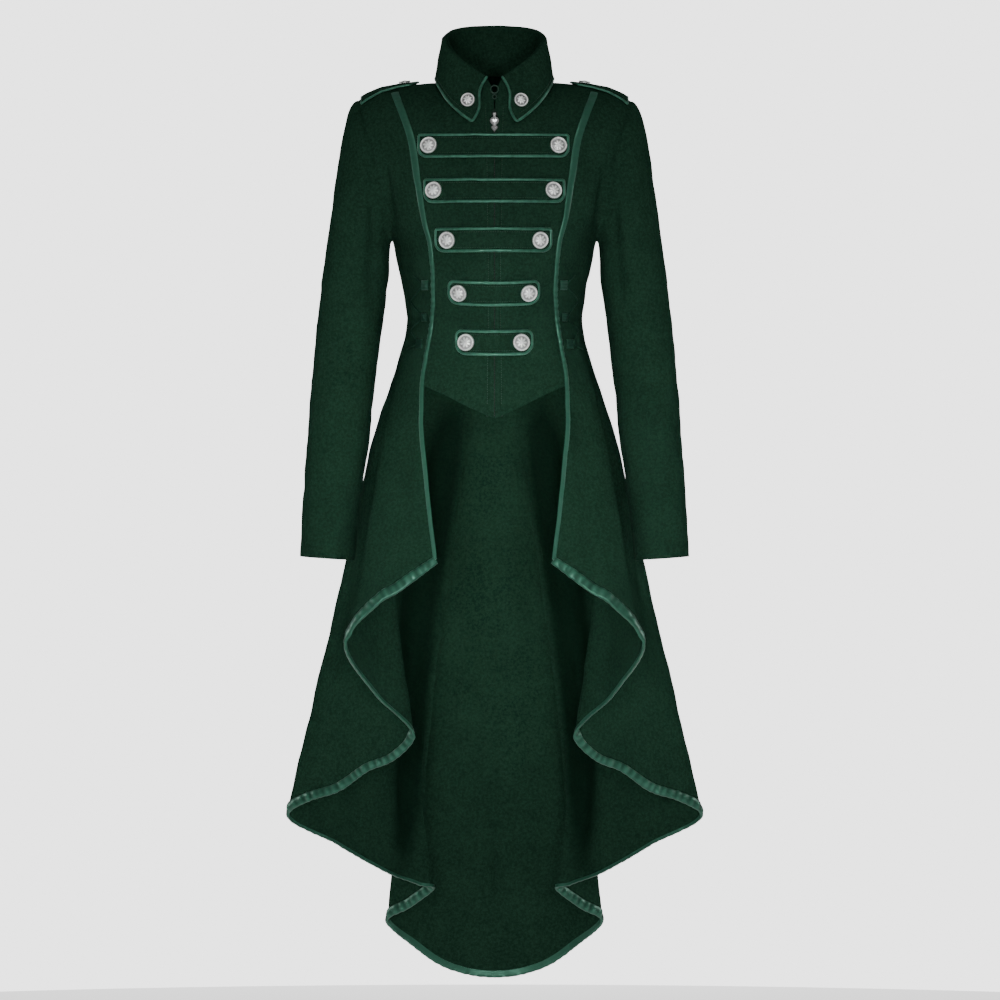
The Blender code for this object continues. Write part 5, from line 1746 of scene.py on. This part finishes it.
def hem_rings(side):
    """Binding round the hem. Each section runs square to the hem: up the cloth by a share of the last
    row, and across it by as much as takes out the slant. It starts on the outer face, bulges, turns
    round the edge and ends on the inner face. The bulge rises and falls with the gathers. Its painted
    gather light, painted highlight and painted shade, follows both: lighter on the beads of the
    gathers and across the middle of the bulge, a fixed middle share on the turned and under parts."""
    across = joined(*(hem_columns(low, low + 1, HEM_SPACING) for low in range(3)))
    zero = np.zeros_like(across)
    foot = hem_point(across, zero)[0]
    step = 2e-3
    after, before = np.clip(across + step, 0, 3), np.clip(across - step, 0, 3)
    run = (hem_point(after, zero)[0] - hem_point(before, zero)[0]) / (after - before)[:, None]
    rate = np.linalg.norm(run, axis=1)
    along = run / rate[:, None]
    column = hem_point(across, zero + 1)[0] - foot
    skew = np.sum(column * along, axis=1)
    height = np.linalg.norm(column - along * skew[:, None], axis=1)
    slip = softened(skew / rate, 10)
    walked = run_length(foot)
    ripple = gathers(walked, 5.6 * MM, 60 + side, 0.3) - 0.45
    fine = gathers(walked, 2.3 * MM, 70 + side) - 0.45
    near_corner = sum(np.exp(-(((across - place) / wide) ** 2)) for place, wide in HEM_CORNERS)
    ruched = 0.30 + 0.50 * gathers(walked, 70 * MM, 80 + side) + 0.45 * near_corner
    tall = HEM_BAND * np.interp(across, *HEM_TALL)
    outside = np.minimum(softened(tall / height, 6), 0.95) * (1 + 0.04 * ripple)
    inside = np.minimum(softened(straight(HEM_INSIDE, "width", across) / height, 6), 0.75)
    drop = (1.0 + 0.5 * ripple)[:, None] * MM

    def on_cloth(share):
        """Points and directions on the creased cloth at a share of the last row."""
        points = hem_point(across - slip * share, share)
        point, normal = (sided(part, side) for part in points)
        return draped(point, normal), normal

    base, first_normal = on_cloth(zero)
    up = unit(on_cloth(outside * 0.3)[0] - base)
    face, inner_face = [], []
    for t in np.linspace(0, 1, 10):
        point, normal = on_cloth(outside * (1 - t))
        rise = 0.4 + 1.9 * np.sin(np.pi * (0.10 + 0.80 * t)) ** 0.8
        swell = 1 + (1.3 * ripple + 0.2 * fine) * ruched * np.sin(np.pi * t) ** 0.6
        face.append(point + normal * (rise * swell)[:, None] * MM - up * drop * t)
    for t in np.linspace(0, 1, 4):
        point, normal = on_cloth(inside * t)
        rise = 1.1 - 0.6 * t + 0.35 * ripple * (1 - t)
        inner_face.append(point - normal * (CLOTH + rise * MM)[:, None] - up * drop * (1 - t))
    turned = base - first_normal * CLOTH / 2 - up * drop * 1.7
    back, back_normal = on_cloth(inside)
    back = back - back_normal * (CLOTH + HEM_UNDER)
    under_in = base - first_normal * (CLOTH + HEM_UNDER) + up * HEM_UNDER
    under_out = base + first_normal * HEM_UNDER + up * HEM_UNDER
    top, top_normal = on_cloth(outside)
    cut = np.stack(face + [turned] + inner_face, axis=1)
    under = np.stack([back, under_in, under_out, top + top_normal * HEM_UNDER], axis=1)
    rings = np.concatenate([cut, under], axis=1)
    rings[-1, :, 0] = 0.0
    # Painted highlight on the beads of the gathers, strongest across the middle of the bulge; the
    # other rows keep a fixed middle share.
    painted_bead_light = np.clip(0.40 + 2.2 * ripple * ruched, 0, 1) ** 1.3
    swelling = np.sin(np.pi * np.linspace(0.06, 0.94, len(face))) ** 0.8
    painted_gather_light = np.full(rings.shape[:2], 0.35)
    painted_gather_light[:, : len(face)] = painted_bead_light[:, None] * (0.25 + 0.75 * swelling)
    return rings, cut, painted_gather_light


for side, word in SIDES:
    rings, cut, painted_gather_light = hem_rings(side)
    satin_band(f"hem_band_{word}", rings, painted_gather_light, cut)


# Straps: height above the shoulder, thickness, and place of the button in front of the
# ridge; half width and half height of the piping
STRAP_LIFT = 1.4 * MM
STRAP_CLOTH = 1.8 * MM
STRAP_BUTTON = (121 * MM, RIDGE_DEEP - 4 * MM)
STRAP_PIPING = (1.7 * MM, 1.9 * MM)


def shoulder_height(out, deep):
    """Height of the shoulder's top at a distance out and a depth: it drops from the ridge
    as a quarter circle, whose reach is the section's full depth at that height. It is
    found by going half the way to it, again and again."""
    ridge = straight(TOP, "ridge", out)
    roof = np.where(deep < RIDGE_DEEP, ROOF_FRONT, ROOF_BACK)
    height = ridge - 4 * MM
    for _ in range(30):
        angle = np.arcsin(np.clip(out / smooth(SECTIONS, "side", height), 0, 1))
        angle = np.where(deep < RIDGE_DEEP, angle, np.pi - angle)
        full = np.abs(depth_at(angle, height) - RIDGE_DEEP)
        share = np.clip(np.abs(deep - RIDGE_DEEP) / full, 0, 0.98)
        height = (height + ridge - roof * (1 - np.sqrt(1 - share**2))) / 2
    return height


def shoulder_point(out, deep):
    """Points and outward directions on top of the shoulder."""
    return with_normals(lambda x, y: stacked(x, y, shoulder_height(x, y)), out, deep)


def strap_grid(inset):
    """Grid over the strap: rows along it, columns from front to back, pointed inside."""
    narrow, wide = EPAULETTE_HALF
    inner, outer = EPAULETTE_INNER + inset * 1.3, EPAULETTE_OUTER - inset
    share = np.linspace(0, 1, 32)[:, None]
    sideways = np.linspace(-1, 1, 22)[None, :]
    start = inner + EPAULETTE_POINT * np.abs(sideways)
    half = narrow + (wide - narrow) * share - inset
    return start + (outer - start) * share, RIDGE_DEEP + half * sideways


def strap_outline(inset):
    """Flat outline of the strap: point, back edge, outer end, front edge."""
    flat = np.stack(strap_grid(inset), axis=-1)
    middle = flat.shape[1] // 2
    edges = [flat[0, middle:], flat[1:, -1], flat[-1, -2::-1], flat[-2::-1, 0], flat[0, 1:middle]]
    loop = np.concatenate(edges)
    walked = run_length(loop)
    return sampled(np.linspace(0, walked[-1], 150, endpoint=False), walked, loop)


def epaulette(side, word):
    """Strap along the shoulder with round piping, and its button near the point."""
    points, normal = shoulder_point(*strap_grid(PIPING * 0.8))
    dome = 0.5 * MM + unevenness(points) * 0.6
    high = sided(points + normal * (STRAP_LIFT + STRAP_CLOTH + dome)[..., None], side)
    low = sided(points + normal * STRAP_LIFT * 0.3, side)
    add_cloth(f"epaulette_{word}", high, low, [OUTSIDE])
    path, normal = (sided(part, side) for part in shoulder_point(*strap_outline(PIPING / 2).T))
    ripple = gathers(run_length(path), 6 * MM, 90 + side) - 0.5
    wide, high = STRAP_PIPING
    wide, high = wide * (1 + 0.07 * ripple), high * (1 + 0.1 * ripple)
    name, node = f"piping_epaulette_{word}", f"epaulette_piping_{word}"
    round_piping(name, node, path, normal, wide, high, STRAP_LIFT * 0.6)
    point, normal = (sided(part, side) for part in shoulder_point(*STRAP_BUTTON))
    point = point + normal * (STRAP_LIFT + STRAP_CLOTH + 0.5 * MM)
    add_button(f"epaulette_button_{word}", EPAULETTE_BUTTON, point, normal, 0.3)


for side, word in SIDES:
    epaulette(side, word)


def on_fall(out, height):
    """Point and outward direction on the collar fall in front, by distance and height:
    the mean of the fall's points, weighted by the nearness, moved into their plane."""
    half = FALL_FACE.shape[1] // 2
    grid, normal = FALL_FACE[9:, half:], FALL_NORMAL[9:, half:]
    gap = (grid[..., 0] - out) ** 2 + (grid[..., 2] - height) ** 2
    gap = np.where(grid[..., 1] < 0, gap, 1)
    weight = 1 / (gap + 1e-6) ** 2
    weight = weight / weight.sum()
    near = (grid * weight[..., None]).sum((0, 1))
    facing = unit((normal * weight[..., None]).sum((0, 1)))
    shift = np.array([out, 0, height]) - near * [1, 0, 1]
    shift[1] = -(facing[0] * shift[0] + facing[2] * shift[2]) / facing[1]
    return near + shift, facing


COLLAR_BUTTON_AT = (35.5 * MM, -28.5 * MM)
point, normal = on_fall(*COLLAR_BUTTON_AT)
for side, word in SIDES:
    seat = sided(point + normal * 0.5 * MM, side)
    add_button(f"collar_button_{word}", COLLAR_BUTTON, seat, sided(normal, side), 0.5, OLD_SILVER)


# Stitches: length, gap and radius; then, for the four rings of each, the place in shares
# of the length, and the thickness and the height in shares of the radius
STITCH = 2.3 * MM
STITCH_GAP = 0.9 * MM
STITCH_RADIUS = 0.34 * MM
STITCH_PLACE = np.array([-0.5, -0.36, 0.36, 0.5])
STITCH_THICK = np.array([0.25, 1.0, 1.0, 0.25])
STITCH_HIGH = np.array([-0.9, 0.35, 0.35, -0.9])
STITCH_CAPS = np.array([[3, 2, 1, 0], [5, 4, 3, 0], [18, 19, 20, 21], [18, 21, 22, 23]])


def stitches(name, paths):
    """Rows of stitches as one mesh: along each path of points and directions, short
    threads with rounded ends that dip into the cloth."""
    all_points, all_faces, first = [], [], 0
    turn = full_turn(6)[:, None]
    corners = len(turn) * len(STITCH_PLACE)
    for path, normal in paths:
        walked = run_length(path)
        at = np.arange(STITCH, walked[-1] - STITCH, STITCH + STITCH_GAP)
        centre = sampled(at, walked, path)
        facing = unit(sampled(at, walked, normal))
        along = unit(sampled(at + 0.5 * MM, walked, path) - centre)
        across = np.cross(along, facing)
        spine = centre[:, None] + along[:, None] * (STITCH_PLACE * STITCH)[:, None]
        spine = spine + facing[:, None] * (STITCH_HIGH * STITCH_RADIUS)[:, None]
        ring = across[:, None, None] * np.cos(turn) + facing[:, None, None] * np.sin(turn)
        points = spine[:, :, None] + ring * (STITCH_THICK * STITCH_RADIUS)[:, None, None]
        all_points.append(points.reshape(-1, 3))
        for quads in (grid_quads(len(STITCH_PLACE), len(turn)), STITCH_CAPS):
            all_faces.append(repeated(quads, len(at), corners, first))
        first += corners * len(at)
    mesh = make_mesh(name, np.concatenate(all_points), [np.concatenate(all_faces)])
    add_piece(mesh, [THREAD], [])


def front_stitching():
    """Stitching beside the zip and round the tabs."""
    column = int(np.argmin(np.abs(PANELS["centre_front"] + 1 - ZIP_STITCH)))
    fronts = [BODY[("centre_front", side)] for side, _ in SIDES]
    stitches("stitches_front", [(face[1:-2, column], normal[1:-2, column]) for face, normal in fronts])
    paths = []
    for row in TABS:
        flat = loop_outline(row, PIPING / MM + TAB_STITCH)
        flat = np.concatenate([flat, flat[:1]])
        points, normal = on_front(flat[:, 0], flat[:, 1])
        paths.append((points + normal * (LIFT + TAB_CLOTH + 0.62 * MM), normal))
    stitches("stitches_chest_tabs", paths)


def collar_stitching():
    """Stitching along the fall, on the row nearest its distance from the lower edge."""
    above = run_length(FALL_FACE)[-1] - run_length(FALL_FACE)
    row = int(np.argmin(np.abs(above[:, 40] - COLLAR_STITCH)))
    stitches("stitches_collar", [(FALL_FACE[row, 3:-3], FALL_NORMAL[row, 3:-3])])


front_stitching()
collar_stitching()

# Zip: pitch and size of the teeth, and the tape behind them, from its upper end down to
# just above the point
TOOTH_PITCH = 2.4 * MM
TOOTH = np.array([1.9, 1.1, 1.25]) * MM
TOOTH_OUT = 0.35 * MM
ZIP_TOP = -40 * MM
ZIP_FOOT = POINT["height"][0] + 3 * MM
TAPE_HALF = 11 * MM
TAPE_FRONT = CLOTH + 0.8 * MM
TAPE_BACK = CLOTH + 1.7 * MM


def zip_line(count):
    """Middle of the front from the slider down to the point, with outward directions."""
    return on_front(np.zeros(count), np.linspace(ZIP_TOP, ZIP_FOOT, count))


def zip_tape():
    """Tape behind the front edges, following them across."""
    height = zip_line(90)[0][:, 2:3]
    points, facing = on_front(np.linspace(-TAPE_HALF, TAPE_HALF, 13), height)
    over, under = points - facing * TAPE_FRONT, points - facing * TAPE_BACK
    add_cloth("zip", over, under, [TAPE], name="zip_tape")


def zip_teeth():
    """Teeth in turn from the left and the right: a small rounded block each."""
    count = int((ZIP_TOP - ZIP_FOOT - 5 * MM) / (TOOTH_PITCH / 2))
    line, normal = zip_line(count)
    centre = line - normal * (CLOTH + 0.1 * MM)
    centre[:, 0] = np.where(np.arange(count) % 2 == 0, TOOTH_OUT, -TOOTH_OUT)
    halves = (-0.5, 0.5)
    corners = np.array([(x, y, z) for x in halves for y in halves for z in halves]) * TOOTH
    points = (centre[:, None] + corners).reshape(-1, 3)
    quads = [(0, 1, 3, 2), (4, 6, 7, 5), (0, 4, 5, 1), (2, 3, 7, 6), (0, 2, 6, 4), (1, 5, 7, 3)]
    mesh = make_mesh("zip_teeth", points, [repeated(np.array(quads), count, len(corners))])
    piece = add_piece(mesh, [DARK_METAL], [])
    bevel = piece.modifiers.new("rounded", "BEVEL")
    bevel.width = 0.18 * MM
    bevel.segments = 2


zip_tape()
zip_teeth()

# Side lacing: half height of the lace, how far out it turns in the loops in millimetres,
# and for the loops the height of their arch at the edge and more in the middle, of their
# folds, and their thickness
LACE_HIGH = 0.75 * MM
LACE_REACH = 3
LOOP_ARCH = (1.3 * MM, 1.1 * MM)
LOOP_FOLD = 0.35 * MM
LOOP_CLOTH = 0.9 * MM


def lace_path():
    """Centre of the lace, from turn to turn between the loops and the far side, as a
    curve between straight lines and a smooth one, with its corners softened."""
    stops = np.array(LACE_TURNS, float)
    near = [(out + LACE_REACH, height) for out, height, _, _ in LOOPS]
    stops = np.insert(stops, (1, 2, 3), near, axis=0) * MM
    rows = {"place": np.arange(len(stops), dtype=float), "out": stops[:, 0], "height": stops[:, 1]}
    at = np.linspace(0, len(stops) - 1, 140)
    soft, plain = (
        np.stack([curve(rows, "out", at), curve(rows, "height", at)], axis=1)
        for curve in (smooth, straight)
    )
    return softened(soft * 0.3 + plain * 0.7, 8)


def side_lacing(side, word):
    """Lace and the three cloth loops that hold it beside the band. A loop arches across
    as part of an ellipse, and has three low folds down its length."""
    path, normal = on_front(*lace_path().T, side)
    rings = cord_rings(path, normal, LACE / 2, LACE_HIGH, LIFT, around=10)
    swept(f"side_lace_cord_{word}", rings, LACING, [f"side_lace_{word}"])
    for number, (out, height, wide, tall) in enumerate(LOOPS, 1):
        share = np.linspace(-1, 1, 12)
        down = np.linspace(1, -1, 14)[:, None]
        grid = (out + share * wide / 2) * MM, (height + down * tall / 2) * MM
        points, normal = on_front(*grid, side)
        low, more = LOOP_ARCH
        arch = low + more * np.sqrt(1 - 0.9 * share**2)
        move = arch + LOOP_FOLD * np.sin((1 - down) * 1.5 * np.pi) ** 2
        outer = points + normal * move[..., None]
        inner = outer - normal * LOOP_CLOTH
        node, under = f"side_loop_{number}_{word}", side_panels(word, "side_front")
        add_cloth(node, outer, inner, [LOOP_SATIN])


for side, word in SIDES:
    side_lacing(side, word)

# Collar rings: ring radius and wire radius
RINGS = (("large", 5.2 * MM, 0.8 * MM), ("small", 2.7 * MM, 0.7 * MM))


def collar_ring(word, major, minor):
    """Ring in front of the stand's front edges: a circle carried round a circle, leaning
    as its solid does."""
    node = f"collar_ring_{word}"
    low, high = (np.array(corner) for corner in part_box(node))
    lean = math.atan2(high[1] - low[1] - 2 * minor, high[2] - low[2])
    turn = full_turn(56)[:, None]
    around = full_turn(14)
    far = major + minor * np.cos(around)
    deep, up = minor * np.sin(around), far * np.sin(turn)
    tilted = deep * math.cos(lean) + up * math.sin(lean)
    rings = stacked(far * np.cos(turn), tilted, up * math.cos(lean)) + (low + high) / 2
    swept(node + "_wire", rings, RING_FINISH, [node], closed=True)


for ring in RINGS:
    collar_ring(*ring)

# Pull: half width and height of the casting's ridge, by the distance below the axis
PULL = table(
    "down half high",
    (3.4, 1.4, 0.5),
    (5.0, 2.2, 0.7),
    (6.4, 4.7, 1.0),
    (9.0, 6.0, 1.4),
    (12.0, 5.4, 1.3),
    (15.2, 3.1, 0.9),
    (17.2, 1.8, 0.6),
    (18.6, 4.1, 0.9),
    (20.4, 4.3, 1.2),
    (23.0, 2.6, 0.9),
    (26.0, 0.4, 0.3),
)
PULL_TILT = math.radians(7)
PULL_AXIS = Vector((0, -5.2 * MM, 1.5 * MM))
PULL_PLATE = 0.7 * MM
SLIDER_HEIGHT = -50 * MM

# Where the pull's lobes turn into the drop, and the valley between the lobes: where it
# has faded out, over what length, its depth and its half width
DROP_START = 16.6 * MM
VALLEY_END = 11 * MM
VALLEY_FADE = 4 * MM
VALLEY_DEEP = 0.75 * MM
VALLEY_WIDE = 0.9 * MM


def pull_relief():
    """Cast front of the pull: two lobes with a valley between them, then a pointed drop
    with a sharp ridge. The height falls to the edge as a quarter circle, or straight."""
    down = np.linspace(3.4, 26.0, 80)[:, None] * MM
    share = np.linspace(-1, 1, 33)
    out = straight(PULL, "half", down) * share
    round_top = np.sqrt(np.clip(1 - share**2, 0, 1))
    lower = np.clip((down - DROP_START) / (1 * MM), 0, 1)
    ridge = (1 - np.abs(share)) * 1.15
    rise = straight(PULL, "high", down) * (round_top * (1 - lower) + ridge * lower)
    valley = VALLEY_DEEP * np.exp(-((out / VALLEY_WIDE) ** 2)) * (1 - lower)
    rise = rise - valley * np.clip((VALLEY_END - down) / VALLEY_FADE, 0, 1) * round_top
    relief = np.clip(rise / (1.1 * MM), 0, 1)
    front = stacked(out, -(PULL_PLATE + 0.1 * MM + np.maximum(rise, 0)), -down)
    back = front[:, -2:0:-1] * [1, 0, 1] - [0, PULL_PLATE, 0]
    rings = np.concatenate([front, back], axis=1)
    point, normal = front_point(0.0, SLIDER_HEIGHT)
    lean = math.atan2(float(normal[2]), -float(normal[1]))
    axis = Vector(point) + Matrix.Rotation(-lean, 3, "X") @ PULL_AXIS
    turn = np.array(Matrix.Rotation(-lean - PULL_TILT, 3, "X"))
    values = np.concatenate([relief, relief[:, -2:0:-1] * 0], axis=1)
    rings = rings @ turn.T + np.array(axis)
    swept("pull_relief", rings, PULL_SILVER, [], "pull", relief=values)


pull_relief()
for node, finish in (("zip_slider", DARK_METAL), ("zip_pull", PULL_SILVER)):
    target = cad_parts[node]
    target.data.materials.clear()
    target.data.materials.append(finish)


# Stage: floor, light and camera
AIM = Vector((0.0074, 0, -0.5643))
CAMERA_AWAY = 10.0
SPAN = 1.35
SENSOR = 36.0
FLOOR_DROP = 120 * MM
FLOOR_RADII = np.array([1.9, 1.2, 0.6])
WORLD_LIGHT = 0.17
BACKGROUND = 3.0
WHITE = colour(1, 1, 1)

# Lights: name, place, size, power and beam angle
LIGHTS = (
    ("front_right_light", (-0.66, -4.1, -0.5), 0.5, 40, 180),
    ("front_left_light", (0.66, -4.1, -0.42), 0.5, 34.5, 180),
    ("skirt_light", (0.0, -4.0, -0.95), 0.5, 1.5, 16),
    ("high_light", (0.1, -2.6, 2.6), 1.2, 32, 180),
    ("side_right_light", (-3.8, 0.9, 0.3), 1.2, 40, 180),
    ("side_left_light", (3.8, 0.9, 0.3), 1.2, 40, 180),
    ("back_light", (0.0, 4.3, 0.2), 1.4, 150, 180),
)


def in_scene(name, data, place=(0, 0, 0)):
    """Object for a mesh, lamp or camera, at a place."""
    made = bpy.data.objects.new(name, data)
    made.location = place
    bpy.context.scene.collection.objects.link(made)
    return made


def add_floor():
    """Round floor a little below the coat: rings about a middle point."""
    turn = full_turn(96)
    radii = FLOOR_RADII[:, None]
    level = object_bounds()[0][2] - FLOOR_DROP
    rings = stacked(radii * np.cos(turn), radii * np.sin(turn), level).reshape(-1, 3)
    count, around = len(FLOOR_RADII), len(turn)
    last = np.arange(around) + (count - 1) * around
    quads = grid_quads(count, around, turned=True)
    faces = quads.tolist() + fan(last, count * around).tolist()
    mesh = bpy.data.meshes.new("floor")
    mesh.from_pydata(rings.tolist() + [[0, 0, level]], [], faces)
    mesh.materials.append(pale_floor("pale_floor"))
    in_scene("floor", mesh)


def add_light(name, place, size, power, spread):
    """Round soft light aimed at the middle of the coat, with its power and beam angle."""
    data = bpy.data.lights.new(name, "AREA")
    data.shape = "DISK"
    data.size = size
    data.energy = power
    data.spread = math.radians(spread)
    toward = (AIM - Vector(place)).to_track_quat("-Z", "Y")
    in_scene(name, data, place).rotation_euler = toward.to_euler()


def add_world():
    """Soft light from all round; what the camera sees behind the coat is brighter."""
    world = bpy.data.worlds.new("studio")
    world.use_nodes = True
    nodes = Nodes(world.node_tree)
    soft = nodes.tree.nodes["Background"]
    nodes.feed(soft, {"Color": WHITE, "Strength": WORLD_LIGHT})
    seen = nodes.add("ShaderNodeBackground", None, {"Color": WHITE, "Strength": BACKGROUND})
    ray = nodes.add("ShaderNodeLightPath").outputs["Is Camera Ray"]
    mix = nodes.add("ShaderNodeMixShader", None, {0: ray, 1: soft.outputs[0], 2: seen.outputs[0]})
    nodes.feed(nodes.tree.nodes["World Output"], {"Surface": mix.outputs[0]})
    bpy.context.scene.world = world


def add_camera():
    """Camera straight in front, whose view is the span across at the coat."""
    data = bpy.data.cameras.new("camera")
    data.sensor_width = SENSOR
    data.lens = SENSOR * CAMERA_AWAY / SPAN
    data.clip_end = 100
    made = in_scene("camera", data, AIM + Vector((0, -CAMERA_AWAY, 0)))
    made.rotation_euler = (math.pi / 2, 0, 0)
    bpy.context.scene.camera = made


add_floor()
add_world()
for light in LIGHTS:
    add_light(*light)
add_camera()
